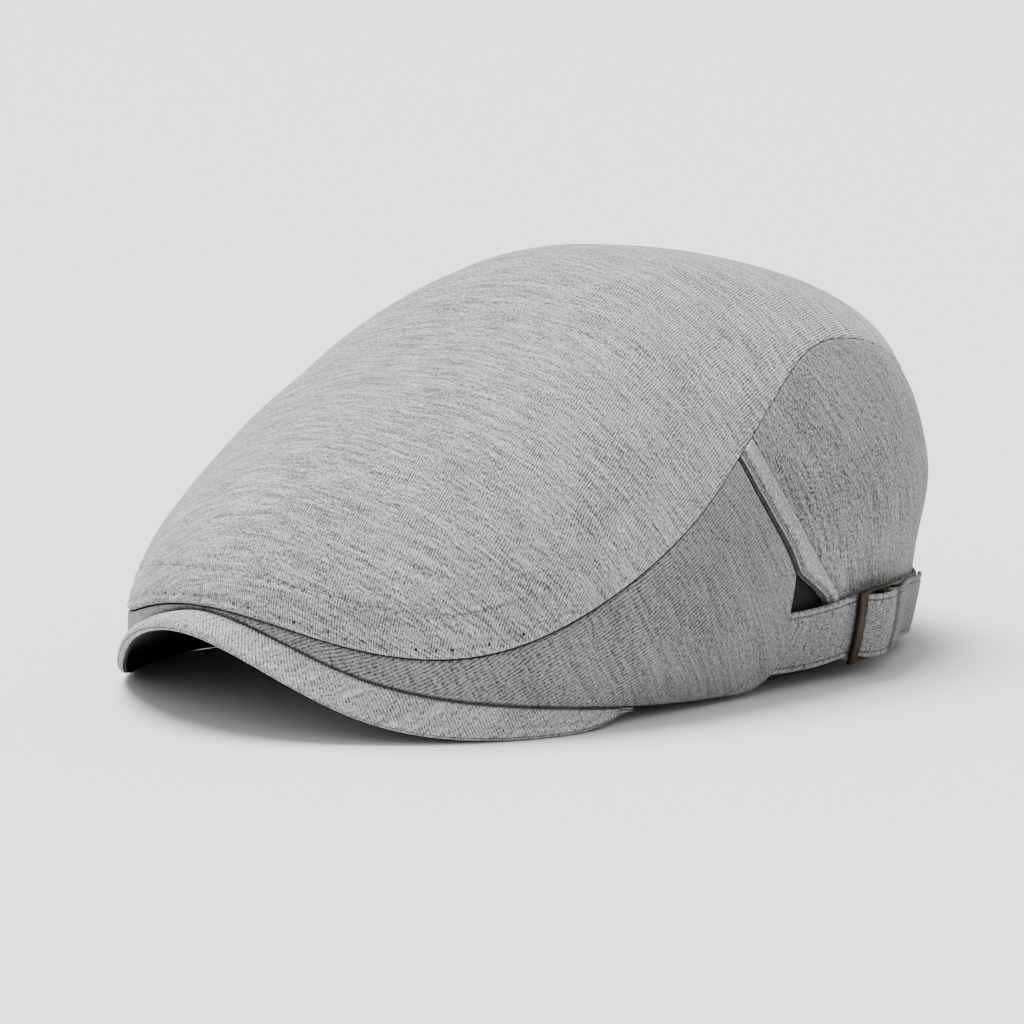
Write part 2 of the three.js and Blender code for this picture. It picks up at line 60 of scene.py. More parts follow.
# The crown's outer face. Each row is a section at a turn in degrees from the front. Reach is a
# share of the plan oval there, and height one of the crown's. Tuck and lift are the brim's.
RINGS = ("edge", "low", "waist", "shoulder", "high")
SECTIONS = (
    {"turn": 0, "edge": (1.00, 0.265), "low": (0.98, 0.355), "waist": (0.89, 0.46),
     "shoulder": (0.69, 0.61), "high": (0.35, 0.81), "tuck": 1.00, "lift": 0.68},
    {"turn": 20, "edge": (1.03, 0.145), "low": (1.01, 0.27), "waist": (0.91, 0.43),
     "shoulder": (0.69, 0.62), "high": (0.37, 0.82), "tuck": 0.96, "lift": 1.00},
    {"turn": 40, "edge": (1.06, 0.068), "low": (1.06, 0.215), "waist": (0.96, 0.42),
     "shoulder": (0.73, 0.65), "high": (0.40, 0.85), "tuck": 0.76, "lift": 0.50},
    {"turn": 60, "edge": (0.99, 0.025), "low": (1.05, 0.19), "waist": (0.99, 0.42),
     "shoulder": (0.77, 0.68), "high": (0.44, 0.885), "tuck": 0.36, "lift": 0.08},
    {"turn": 90, "edge": (0.945, 0.01), "low": (1.00, 0.175), "waist": (0.98, 0.43),
     "shoulder": (0.80, 0.71), "high": (0.47, 0.92), "tuck": 0, "lift": 0},
    {"turn": 135, "edge": (0.965, 0.012), "low": (1.01, 0.215), "waist": (1.04, 0.48),
     "shoulder": (0.88, 0.79), "high": (0.50, 0.96), "tuck": 0, "lift": 0},
    {"turn": 180, "edge": (0.91, 0.012), "low": (0.96, 0.26), "waist": (0.99, 0.50),
     "shoulder": (0.85, 0.80), "high": (0.47, 0.965), "tuck": 0, "lift": 0},
)

# Where the top panel is sewn to the panels below it: turn, and rise in rings
SEAM = ((0, 0.09), (10, 0.27), (20, 0.48), (32, 0.70), (44, 1.15), (58, 1.73), (74, 2.30),
        (95, 2.84), (118, 3.12), (132, 2.95), (145, 2.62), (162, 2.36), (180, 2.30))

# A second row of stitches on the top panel, over the brim: turn, and rise in rings
ARC = ((0, 0.99), (5, 1.02), (9, 1.09), (13, 1.16), (19, 1.21), (27, 1.21), (32, 1.26),
       (37, 1.39), (44, 1.62))

# The slit, from the hem (up 0) to the seam (up 1): the turn of the side panel's rear edge and of
# the binding's front edge, and the binding's width as a share
SLIT_BEND = 0.53
SLIT = (
    {"up": 0, "side": 80, "back": 108, "binding": 0.7},
    {"up": 0.03, "side": 82.5, "back": 107, "binding": 0.7},
    {"up": 0.06, "side": 84.8, "back": 106, "binding": 0.7},
    {"up": 0.1, "side": 86.6, "back": 105, "binding": 0.7},
    {"up": 0.40, "side": 88.5, "back": 97.5, "binding": 0.7},
    {"up": SLIT_BEND, "side": 90, "back": 90, "binding": 1.2},
    {"up": 0.62, "side": 88, "back": 88, "binding": 1},
    {"up": 0.74, "side": 85, "back": 85, "binding": 1},
    {"up": 0.87, "side": 82.5, "back": 82.5, "binding": 1},
    {"up": 1, "side": 80.5, "back": 80.5, "binding": 1},
)
SLIT_OPEN = 1.0
GAP = 0.3
REAR_TURNS = (44, 80)
BINDING_WIDTH = 7.5
BINDING_PROUD = 0.6
JOINT_HEM = 92.0
JOINT_TOP = 80.5
PANEL_THICK = 1.6
HEM_UP = 0.05

# The lining's foot: turn, and rise in rings. It dips behind the brim's ends.
LINING_FOOT = ((54, 0.1), (60, -0.06), (72, 0.04), (90, 0.06))
LINING_DIP = 0.22
DIP_TURN = 56.5
DIP_WIDTH = 2.6
LINING_THICK = 1.0
LINING_GAP = 1.0
LINING_FADE = 2.2

# The brim, and its lip's reach past the crown and height at each turn, as shares
BRIM_SHOW = 6.5
BRIM_TUCK = 37.0
BRIM_LIFT = 12.0
BRIM_ARCH = 25.5
BRIM_THICK = 3.3
BRIM_TURN = 55.0
BRIM_SEAT = 0.5
BRIM_BOW = 0.6
BRIM_TIP = 0.3
TIP_TURN = 10.0
TIP_START = 49.0
TIP_TUCK = 3.2
BRIM_MEAN = 135.0
UNDERSIDE_MEAN = 125.0
UNDERSIDE_THICK = 0.35
SEWN_EDGE = -30.0
LIP = (
    {"turn": -55, "show": 0.03, "arch": 0}, {"turn": -48, "show": 0.4, "arch": 0},
    {"turn": -38, "show": 0.48, "arch": 0}, {"turn": -30, "show": 0.42, "arch": 0.07},
    {"turn": -20, "show": 0.6, "arch": 0.4}, {"turn": -10, "show": 1, "arch": 0.84},
    {"turn": 0, "show": 1.05, "arch": 1}, {"turn": 20, "show": 0.62, "arch": 0.27},
    {"turn": 40, "show": 0.62, "arch": 0}, {"turn": 50, "show": 0.38, "arch": 0},
    {"turn": 55, "show": 0.03, "arch": 0},
)

# The straps and the slide, along the strap from the side panel and off the crown's face
STRAP_WIDTH = 17.5
STRAP_THICK = 1.3
STRAP_TURN = 88.9
STRAP_LEAD = 14.0
STRAP_LAY = 0.4
STRAP_TAIL = 5.0
FOLD_TAIL = 25.0
BEND = 0.8
DROP = 0.3
SLIDE_START = 26.5
SLIDE_LENGTH = 20.0
SLIDE_THICK = 1.4
SLIDE_BAR = 2.9
SLIDE_RAIL = 1.1
WIDER_LEFT = 0.9
SLIDE_LIFT = 3.6
SLIDE_PITCH = (SLIDE_LENGTH - SLIDE_BAR) / 2
LEFT_BAR = SLIDE_START
MIDDLE_BAR = SLIDE_START + SLIDE_PITCH
RIGHT_BAR = SLIDE_START + 2 * SLIDE_PITCH
SLIDE_END = RIGHT_BAR + SLIDE_BAR
STRAP_ROW = 1.7
STRAP_START = ((-1.5, -0.9), (0.2, -0.65), (7, 0.4), (13, 1.3), (18, 1.7), (23, 1.9))

# The height of the strap's lower edge above the ground, along it
STRAP_LINE = (
    {"along": 0, "height": 5.2}, {"along": 26, "height": 6.8}, {"along": 42, "height": 7.4},
    {"along": 60, "height": 6.6}, {"along": 84, "height": 4}, {"along": 130, "height": 3.6},
    {"along": 300, "height": 5},
)

# The rows of stitches: how far in from the seam, how far apart, and the turn where the seam's row
# ends. A point that has no row near it reads as far from it.
SEAM_ROW = 2.6
SEAM_PITCH = 4.8
SEAM_ROW_END = 52.0
ARC_PITCH = 3.7
FAR = 9.0

# How light each cloth is beside the top panel's or the side strap's, which are the same cloths:
# painted shade on the side panels, the back panel and the folded strap, painted light on the
# brim, and painted light on the binding, lighter than the panels beside it.
SIDE_PAINTED_SHADE = 0.61
BACK_PAINTED_SHADE = 0.64
BINDING_PAINTED_LIGHT = 0.92
BRIM_PAINTED_LIGHT = 1.14
FOLDED_PAINTED_SHADE = 0.72


class LevelCurve:
    """A smooth curve through a table's rows, level at both ends."""

    def __init__(self, turns, values):
        self.turns = np.array(turns, float)
        self.values = np.array(values, float)
        steps = np.diff(self.turns)
        pitch = np.diff(self.values) / steps
        self.slopes = np.zeros(len(turns))
        for _ in range(60):
            for k in range(1, len(turns) - 1):
                pull = 3 * (pitch[k - 1] / steps[k - 1] + pitch[k] / steps[k])
                beside = self.slopes[k - 1] / steps[k - 1] + self.slopes[k + 1] / steps[k]
                self.slopes[k] = (pull - beside) / (2 / steps[k - 1] + 2 / steps[k])

    def __call__(self, turn):
        at = np.clip(turn, self.turns[0], self.turns[-1])
        k = np.clip(np.searchsorted(self.turns, at, "right") - 1, 0, len(self.turns) - 2)
        h = self.turns[k + 1] - self.turns[k]
        t = (at - self.turns[k]) / h
        near, far = (1 - t) ** 2, t ** 2
        level = self.values[k] * near * (1 + 2 * t) + self.values[k + 1] * far * (3 - 2 * t)
        return level + h * (self.slopes[k] * t * near - self.slopes[k + 1] * far * (1 - t))


def column(rows, name, part=None, at="turn"):
    """A curve through one column of a table of named values."""
    values = [row[name] if part is None else row[name][part] for row in rows]
    return LevelCurve([row[at] for row in rows], values)


RING_REACH = [column(SECTIONS, ring, 0) for ring in RINGS]
RING_HEIGHT = [column(SECTIONS, ring, 1) for ring in RINGS]
TUCK_SHARE = column(SECTIONS, "tuck")
LIFT_SHARE = column(SECTIONS, "lift")
LIP_SHOW = column(LIP, "show")
LIP_ARCH = column(LIP, "arch")
STRAP_HEIGHT = column(STRAP_LINE, "height", at="along")
SEAM_SHARE = LevelCurve(*zip(*SEAM))


def folded(turn):
    """Turns past the back read the same tables from the other side."""
    return np.abs((np.asarray(turn, float) + 180) % 360 - 180)


def seam_rise(turn):
    return SEAM_SHARE(folded(turn))


def rearward(turn):
    """From nothing at the front part of the seam to one at its rear part, which lies flatter."""
    return smooth(folded(turn), *REAR_TURNS)


def seam_gap(turn):
    """Half the gap at the seam, which closes towards the back."""
    return mix(GAP / 2, 0.04, rearward(turn))


def arc_rise(turn):
    return np.interp(folded(turn), *zip(*ARC))


def plan_reach(turn):
    """The plan oval's reach from the crown's middle."""
    across = np.sin(np.radians(turn)) / CROWN_SIDE
    along = np.cos(np.radians(turn))
    return 1 / np.hypot(across, along / np.where(along > 0, CROWN_FRONT, CROWN_BACK))


def polar(turn, reach, height):
    around = np.radians(turn)
    x, y, z = np.broadcast_arrays(reach * np.sin(around), -reach * np.cos(around), height)
    return np.stack([x, y, z], -1)


def ring_point(ring, turn):
    at = folded(turn)
    reach = RING_REACH[ring](at) * plan_reach(turn)
    return polar(turn, reach, RING_HEIGHT[ring](at) * CROWN_HEIGHT)


def crown(turn, rise):
    """The crown's outer face at a turn and a rise counted in rings, up to the apex."""
    turn, rise = np.broadcast_arrays(np.asarray(turn, float), np.asarray(rise, float))
    rings = [ring_point(ring, turn) for ring in range(len(RINGS))]
    apex = np.zeros_like(rings[0])
    apex[..., 2] = CROWN_HEIGHT
    stations = np.stack([2 * rings[0] - rings[1], *rings, apex, ring_point(-1, turn + 180)])
    k = np.clip(np.floor(rise).astype(int), 0, APEX - 1)
    t = (rise - k)[..., None]
    weights = (-t + 2 * t ** 2 - t ** 3, 2 - 5 * t ** 2 + 3 * t ** 3,
               t + 4 * t ** 2 - 3 * t ** 3, t ** 3 - t ** 2)
    spots = np.indices(k.shape)
    return sum(weight * stations[(k + n, *spots)] for n, weight in enumerate(weights)) / 2


def unit(vectors):
    return vectors / np.maximum(np.linalg.norm(vectors, axis=-1, keepdims=True), 1e-9)


def crown_out(turn, rise):
    """The crown's outward direction, straight up at the apex."""
    rise = np.asarray(rise, float)
    across = crown(turn + 0.5, rise) - crown(turn - 0.5, rise)
    up = crown(turn, np.minimum(rise + 0.02, APEX)) - crown(turn, rise - 0.02)
    out = unit(np.cross(across, up))
    out[np.broadcast_to(rise, out.shape[:-1]) > APEX - 0.001] = (0, 0, 1)
    return out


def rise_rate(turn, rise):
    """Millimetres up the crown's face for one ring of rise."""
    step = 0.02
    lengths = crown(turn, rise + step) - crown(turn, rise - step)
    return np.linalg.norm(lengths, axis=-1) / (2 * step)


def rise_after(turn, rise, distance):
    """The rise that lies a distance further up the crown's face."""
    for _ in range(4):
        rise = rise + distance / 4 / rise_rate(turn, rise)
    return rise


def run_length(points, axis=0):
    """The distance along lines of points, from each line's start."""
    steps = np.linalg.norm(np.diff(points, axis=axis), axis=-1)
    start = np.zeros_like(np.take(steps, [0], axis))
    return np.concatenate([start, np.cumsum(steps, axis)], axis)


# How far up the crown's face each rise is from the foot, tabled once
TABLE_TURNS = np.linspace(0, 180, 91)
TABLE_RISES = np.linspace(-0.5, APEX, 276)
TABLE_LENGTHS = run_length(crown(TABLE_TURNS[:, None], TABLE_RISES[None, :]), 1)


def up_length(turn, rise):
    """Millimetres up the crown's face, along its section."""
    a = folded(turn) / TABLE_TURNS[1]
    b = (np.asarray(rise, float) - TABLE_RISES[0]) / (TABLE_RISES[1] - TABLE_RISES[0])
    a, b = np.broadcast_arrays(a, b)
    i = np.clip(np.floor(a).astype(int), 0, len(TABLE_TURNS) - 2)
    j = np.clip(np.floor(b).astype(int), 0, len(TABLE_RISES) - 2)
    u, v = a - i, b - j
    near = TABLE_LENGTHS[i, j] * (1 - v) + TABLE_LENGTHS[i, j + 1] * v
    far = TABLE_LENGTHS[i + 1, j] * (1 - v) + TABLE_LENGTHS[i + 1, j + 1] * v
    return near * (1 - u) + far * u


def rise_at_height(turn, height):
    """The rise at which the crown reaches a height."""
    turn, height = np.broadcast_arrays(np.asarray(turn, float), np.asarray(height, float))
    low, high = np.full(turn.shape, -0.5), np.full(turn.shape, 2.0)
    for _ in range(30):
        middle = (low + high) / 2
        below = crown(turn, middle)[..., 2] < height
        low, high = np.where(below, middle, low), np.where(below, high, middle)
    return (low + high) / 2


def degrees_for(distance, reach):
    return np.degrees(distance / reach)


def mix(a, b, t):
    return a + (b - a) * t


def bump(distance, place, width):
    """A rounded ridge across a line, one high."""
    return np.exp(-((distance - place) / width) ** 2)


def roll(distance, radius, depth):
    """How far a cloth edge rolls in, from nothing at a radius from the edge."""
    x = np.clip(1 - distance / radius, 0, 1)
    return -depth * (1 - np.sqrt(1 - x ** 2))


def smooth(value, low, high):
    """From nothing at low to one at high, with level ends."""
    t = np.clip((value - low) / (high - low), 0, 1)
    return t * t * (3 - 2 * t)


def waves(points, size, seed):
    """Smooth random waves of about a size, from -1 to 1, the same on each run."""
    flat = points.reshape(-1, 3) / size + seed
    return np.array([noise.noise(Vector(p)) for p in flat]).reshape(points.shape[:-1])


def graded(total, middle, ends=(0, 0.2, 0.45, 0.75, 1.1, 1.5, 2.0, 2.6)):
    """Shares of a length in millimetres, close together near both ends."""
    near = np.array(ends) / total
    inner = np.linspace(near[-1], 1 - near[-1], middle)
    return np.concatenate([near[:-1], inner, 1 - near[-2::-1]])


def uv_map(along, across):
    """A map of the cloth from its distances along and across, in millimetres."""
    return np.stack(np.broadcast_arrays(along, across), -1)


def add_object(name, data):
    made = bpy.data.objects.new(name, data)
    bpy.context.scene.collection.objects.link(made)
    return made


def grid_piece(name, points, maps, closed=False, thick=None):
    """A sheet made as a grid and moved, point by point, to its place on the cap. points is
    [column][row] in millimetres, and maps holds the sheet's UV maps in the same way."""
    columns, rows = points.shape[:2]
    build = bmesh.new()
    bmesh.ops.create_grid(build, x_segments=columns - 1, y_segments=rows - 1, size=0.5)
    flat = np.array([vertex.co[:2] for vertex in build.verts]) + 0.5
    column_of = np.rint(flat[:, 0] * (columns - 1)).astype(int)
    row_of = np.rint(flat[:, 1] * (rows - 1)).astype(int)
    mesh = bpy.data.meshes.new(name)
    build.to_mesh(mesh)
    build.free()
    placed = (points[column_of, row_of] + CROWN_MIDDLE) * MM
    mesh.vertices.foreach_set("co", placed.astype(np.float32).ravel())
    corner = np.zeros(len(mesh.loops), dtype=np.int32)
    mesh.loops.foreach_get("vertex_index", corner)
    for label, values in maps.items():
        layer = mesh.uv_layers.new(name=label)
        spread = values[column_of[corner], row_of[corner]]
        layer.data.foreach_set("uv", spread.astype(np.float32).ravel())
    if closed:
        build = bmesh.new()
        build.from_mesh(mesh)
        bmesh.ops.remove_doubles(build, verts=build.verts, dist=2e-6)
        bmesh.ops.recalc_face_normals(build, faces=build.faces)
        build.to_mesh(mesh)
        build.free()
    mesh.polygons.foreach_set("use_smooth", [True] * len(mesh.polygons))
    piece = add_object(name, mesh)
    if thick:
        wall = piece.modifiers.new("wall", "SOLIDIFY")
        wall.thickness = thick * MM
        wall.offset = -1
    return piece


def fit_out(piece, material, slot, *nodes):
    """Gives a piece its finish, and ties it to the frame."""
    piece.data.materials.append(material)
    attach(piece, "root")
    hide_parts(*nodes)


# ---------------------------------------------------------------- finishes


class Finish:
    """A procedural material, put together from nodes."""

    def __init__(self, name):
        self.material = bpy.data.materials.new(name)
        self.material.use_nodes = True
        self.tree = self.material.node_tree
        self.shader = self.tree.nodes["Principled BSDF"]

    def node(self, kind, inputs=None, **settings):
        made = self.tree.nodes.new(kind)
        for label, value in settings.items():
            setattr(made, label, value)
        for label, value in (inputs or {}).items():
            self.put(made.inputs[label], value)
        return made

    def put(self, socket, value):
        if isinstance(value, bpy.types.NodeSocket):
            self.tree.links.new(value, socket)
        else:
            socket.default_value = value

    def sum(self, operation, *values):
        return self.node(
            "ShaderNodeMath", dict(enumerate(values)), operation=operation).outputs[0]

    def times(self, a, b):
        return self.sum("MULTIPLY", a, b)

    def spread(self, value, low, high, to_low=0.0, to_high=1.0):
        return self.node("ShaderNodeMapRange", {
            "Value": value, "From Min": low, "From Max": high, "To Min": to_low,
            "To Max": to_high}, interpolation_type="SMOOTHSTEP").outputs["Result"]

    def uv(self, label):
        return self.node("ShaderNodeUVMap", uv_map=label).outputs["UV"]

    def parts(self, vector):
        return self.node("ShaderNodeSeparateXYZ", {"Vector": vector}).outputs

    def turned(self, vector, degrees, across, along):
        """Coordinates turned by an angle, and stretched to a size across and along."""
        return self.node("ShaderNodeMapping", {
            "Vector": vector, "Rotation": (0, 0, math.radians(degrees)),
            "Scale": (along, across, 1)}, vector_type="TEXTURE").outputs["Vector"]

    def noise(self, vector, scale=1.0, detail=2.0, rough=0.5):
        return self.node("ShaderNodeTexNoise", {
            "Vector": vector, "Scale": scale, "Detail": detail, "Roughness": rough}).outputs["Fac"]

    def shaded(self, colour, shade):
        return self.node(
            "ShaderNodeVectorMath", {0: colour, "Scale": shade}, operation="SCALE").outputs[0]

    def dress(self, colour, height, strength, depth, numbers):
        """Joins colour and relief to the shader, and sets the numbers that don't vary."""
        relief = self.node("ShaderNodeBump", {
            "Height": height, "Strength": strength, "Distance": depth})
        self.put(self.shader.inputs["Base Color"], colour)
        self.put(self.shader.inputs["Normal"], relief.outputs["Normal"])
        for label, value in numbers.items():
            self.shader.inputs[label].default_value = value
        return self.material


def stitch_marks(finish, label, pitch, hole):
    """Masks of the needle holes and of the threads between them, along a row. No two holes are
    quite alike."""
    along, off, _ = finish.parts(finish.uv(label))
    count = finish.sum("DIVIDE", along, pitch)
    chance = finish.node("ShaderNodeTexWhiteNoise", {"W": finish.sum("FLOOR", count)},
                         noise_dimensions="1D").outputs
    shift = finish.parts(chance["Color"])
    from_hole = finish.times(finish.sum("SUBTRACT", finish.sum("FRACT", count), 0.5), pitch)
    x = finish.sum("ADD", from_hole, finish.spread(shift["X"], 0, 1, -0.5, 0.5))
    y = finish.sum("ADD", off, finish.spread(shift["Y"], 0, 1, -0.22, 0.22))
    reach = finish.sum("SQRT", finish.sum("ADD", finish.times(x, x), finish.times(y, y)))
    holes = finish.times(finish.spread(reach, hole * 0.4, hole * 1.25, 1.0, 0.0),
                         finish.spread(chance["Value"], 0, 1, 0.35, 1.0))
    beside = finish.spread(finish.sum("ABSOLUTE", off), 0.1, 0.32, 1.0, 0.0)
    between = finish.spread(finish.sum("ABSOLUTE", from_hole), hole + 0.2, hole + 0.7)
    return holes, finish.times(beside, between)


def twill(name, tone, twill_turn, slub_turn, rows=(), shading_lines=(), contrast=1.0, ribs=1.0,
          slub=1.0, tint=(1, 1, 1)):
    """Heathered twill: fine slanting ribs broken into light and dark dashes, and long slubs. Each
    row of stitches is a map, a pitch, a hole's radius and how light its thread is; its needle
    holes are painted dark as painted shade. Each line of painted shade is a map, its place across
    it, its half width and how dark it is painted, below nothing for a painted highlight on a ridge."""
    finish = Finish(name)
    cloth = finish.uv("cloth")
    drift = finish.node("ShaderNodeTexNoise", {"Vector": cloth, "Scale": 0.045, "Detail": 1.0})
    shaken = finish.node("ShaderNodeVectorMath", {
        0: drift.outputs["Color"], 1: (3.5, 3.5, 0.0), 2: cloth},
        operation="MULTIPLY_ADD").outputs[0]
    rib = finish.node("ShaderNodeTexWave", {
        "Vector": finish.turned(shaken, twill_turn + 90, 1, 1), "Scale": 0.3142 / 0.86,
        "Distortion": 0.7, "Detail": 2.0, "Detail Scale": 2.2},
        wave_type="BANDS", bands_direction="X").outputs["Fac"]
    dashes = finish.noise(finish.turned(shaken, twill_turn, 0.40, 1.15), rough=0.6)
    flecks = finish.noise(finish.turned(shaken, slub_turn, 0.40, 1.7), rough=0.6)
    yarns = finish.noise(finish.turned(shaken, slub_turn, 0.62, 9.0), rough=0.55)
    slubs = finish.noise(finish.turned(shaken, slub_turn, 1.5, 30.0))
    clouds = finish.noise(cloth, 0.05)
    shade = finish.spread(rib, 0.08, 0.92, -0.34 * ribs, 0.26 * ribs)
    for value, low, high, amount in (
            (dashes, 0.33, 0.67, 0.46), (flecks, 0.33, 0.67, 0.30),
            (yarns, 0.34, 0.68, 0.24 * slub), (slubs, 0.34, 0.68, 0.19 * slub),
            (clouds, 0.3, 0.7, 0.05)):
        shade = finish.sum("ADD", shade, finish.spread(value, low, high, -amount, amount))
    shade = finish.sum("MULTIPLY_ADD", shade, contrast, 1.04)
    shade = finish.sum("MAXIMUM", shade, 0.15)
    height = finish.sum("ADD", finish.times(rib, 0.8 * ribs),
                        finish.times(finish.sum("ADD", dashes, flecks), 0.9))
    for label, pitch, hole, light in rows:
        holes, threads = stitch_marks(finish, label, pitch, hole)
        # The needle holes are painted dark as painted shade in them; the threads keep their own
        # lighter colour
        shade = finish.times(shade, finish.spread(holes, 0, 1, 1.0, 0.1))
        shade = finish.times(shade, finish.spread(threads, 0, 1, 1.0, light))
        height = finish.sum("ADD", height, finish.times(threads, 1.2))
        height = finish.sum("SUBTRACT", height, finish.times(holes, 2.0))
    # Painted shade along creases and seams, and painted highlight along ridges where the darkness
    # is below nothing
    for label, place, width, dark in shading_lines:
        off = finish.parts(finish.uv(label))["Y"]
        beside = finish.sum("ABSOLUTE", finish.sum("SUBTRACT", off, place))
        shade = finish.times(shade, finish.spread(beside, 0, width, 1 - dark, 1.0))
    colour = finish.shaded(tuple(tone * part for part in tint), shade)
    return finish.dress(colour, height, 0.6, 0.00022, {
        "Roughness": 0.92, "Specular IOR Level": 0.2, "Sheen Weight": 0.12,
        "Sheen Roughness": 0.5})


def black_cloth(name):
    finish = Finish(name)
    cloth = finish.uv("cloth")
    weave = finish.noise(finish.turned(cloth, 0, 0.5, 0.5))
    rib = finish.node("ShaderNodeTexWave", {
        "Vector": cloth, "Scale": 0.3142 / 0.7, "Distortion": 0.4},
        wave_type="BANDS", bands_direction="DIAGONAL").outputs["Fac"]
    colour = finish.shaded((0.008, 0.008, 0.009), finish.spread(weave, 0.3, 0.7, 0.7, 1.3))
    return finish.dress(colour, finish.sum("ADD", rib, weave), 0.4, 0.0002, {
        "Roughness": 0.85, "Specular IOR Level": 0.25})


def dark_brass(name):
    finish = Finish(name)
    place = finish.node("ShaderNodeTexCoord").outputs["Object"]
    stain = finish.noise(place, 160.0, 3.0)
    grain = finish.noise(place, 2600.0)
    ramp = finish.node("ShaderNodeValToRGB", {"Fac": stain})
    dark, light = ramp.color_ramp.elements
    dark.position, dark.color = 0.3, (0.017, 0.009, 0.004, 1)
    light.position, light.color = 0.75, (0.036, 0.02, 0.009, 1)
    finish.put(finish.shader.inputs["Roughness"], finish.spread(stain, 0.3, 0.7, 0.5, 0.38))
    return finish.dress(ramp.outputs["Color"], grain, 0.25, 0.0001, {"Metallic": 0.9})


# ---------------------------------------------------------------- panels


def soft_dents(points, depth):
    """The soft unevenness of cloth over a padded form."""
    return depth * (waves(points, 38, 3.1) + 0.4 * waves(points, 15, 7.7))


def seam_slant(turn):
    """How much shorter the way across the seam is than the way up the crown there."""
    rise = seam_rise(turn)
    ahead = up_length(turn + 1, seam_rise(turn + 1)) - up_length(turn - 1, seam_rise(turn - 1))
    step = crown(turn + 1, rise) - crown(turn - 1, rise)
    sideways = np.hypot(step[..., 0], step[..., 1])
    return sideways / np.hypot(sideways, ahead)


def lifted(turn, rise, lift, dents=0, calm=0):
    """Points off the crown's face, with soft dents where it is calm."""
    points = crown(turn, rise)
    if dents:
        lift = lift + soft_dents(points, dents) * calm
    return points + crown_out(turn, rise) * lift[..., None]


def off_row(off, ended):
    """The distance off a row of stitches, which is far where the row has ended."""
    return np.clip(off + np.where(ended, FAR, 0), -FAR, FAR)


def apex_cloth(turn, rise):
    """A map of cloth that is laid over the crown from its apex."""
    return polar(turn, up_length(turn, APEX) - up_length(turn, rise), 0)[..., :2]


TOP_COLUMNS = 330
TOP_NEAR = (0, 0.2, 0.45, 0.75, 1.1, 1.5, 2.0, 2.6, 3.2, 3.9, 4.7, 5.6, 6.5, 7.4, 8.2, 9.0, 9.8,
            10.6, 11.4, 12.2, 13.0, 13.8, 14.6, 15.4, 16.5)


def make_top_panel():
    turns = np.linspace(0, 360, TOP_COLUMNS + 1)
    turn = turns[:, None]
    slant = seam_slant(turn)
    near = np.array(TOP_NEAR)[None, :]
    lower = rise_after(turn, seam_rise(turn), near / slant + seam_gap(turn))
    upper = mix(lower[:, -1:], APEX, np.linspace(0, 1, 88)[None, 1:])
    rise = np.concatenate([lower, upper], axis=1)
    length = up_length(turn, rise)
    off_seam = (length - up_length(turn, seam_rise(turn))) * slant
    rear = rearward(turn)
    sewn = 1 - 0.75 * smooth(folded(turn), 36, 62)
    seam_along = run_length(crown(turns, seam_rise(turns)))[:, None]
    pucker = 1 + 0.5 * np.sin(seam_along * 2 * np.pi / SEAM_PITCH) * bump(off_seam, SEAM_ROW, 3)
    lift = roll(off_seam, mix(0.9, 0.45, rear), mix(1.3, 0.4, rear))
    lift = lift + sewn * pucker * (
        0.42 * bump(off_seam, 1.25, 0.85) + 0.2 * bump(off_seam, 4.4, 1.5)
        - 0.22 * bump(off_seam, SEAM_ROW, 0.5))
    arc_off = (rise - arc_rise(turn)) * rise_rate(turn, arc_rise(turn))
    arc_mask = 1 - smooth(folded(turn), 37, 43)
    arc_lift = 0.22 * bump(np.abs(arc_off), 1.6, 0.9) - 0.38 * bump(arc_off, 0, 0.45)
    lift = lift + arc_mask * arc_lift
    points = lifted(turn, rise, lift, 0.55, smooth(off_seam, 1, 12))
    arc_along = run_length(crown(turns, arc_rise(turns)))[:, None]
    seam_row = off_row(off_seam - SEAM_ROW, folded(turn) > SEAM_ROW_END)
    # arc_row places the arc's stitches and its line of painted shade
    maps = {"cloth": apex_cloth(turn, rise), "seam_row": uv_map(seam_along, seam_row),
            "arc_row": uv_map(arc_along, off_row(arc_off, arc_mask < 0.5))}
    return grid_piece("top_cloth", points, maps, closed=True, thick=PANEL_THICK)


ROUND_TURNS = np.linspace(0, 360, 361)
ROUND_LENGTHS = run_length(crown(ROUND_TURNS, seam_rise(ROUND_TURNS) / 2))


def read_slit(edge, up):
    ups = [row["up"] for row in SLIT]
    return np.interp(up, ups, [row[edge] for row in SLIT])


def slit_turn(edge, up, direction):
    closing = np.maximum(0, up - SLIT_BEND) / (1 - SLIT_BEND)
    opening = mix(SLIT_OPEN, GAP, closing)
    return read_slit(edge, up) + direction * degrees_for(opening / 2, CROWN_SIDE)


def panel_rise(turn, up):
    seam = seam_rise(turn)
    return up * (seam - seam_gap(turn) / rise_rate(turn, seam))


def lower_cloth(turn, up):
    """Rise, distances to the seam and the hem, and the cloth's UV map, on a lower panel."""
    rise = panel_rise(turn, up)
    length = up_length(turn, rise)
    whole = up_length(turn, panel_rise(turn, np.ones_like(up)))
    foot = up_length(turn, np.zeros_like(up))
    off_seam = (whole - length) * seam_slant(turn)
    off_hem = length - foot
    return rise, off_seam, off_hem, uv_map(np.interp(turn, ROUND_TURNS, ROUND_LENGTHS), off_hem)


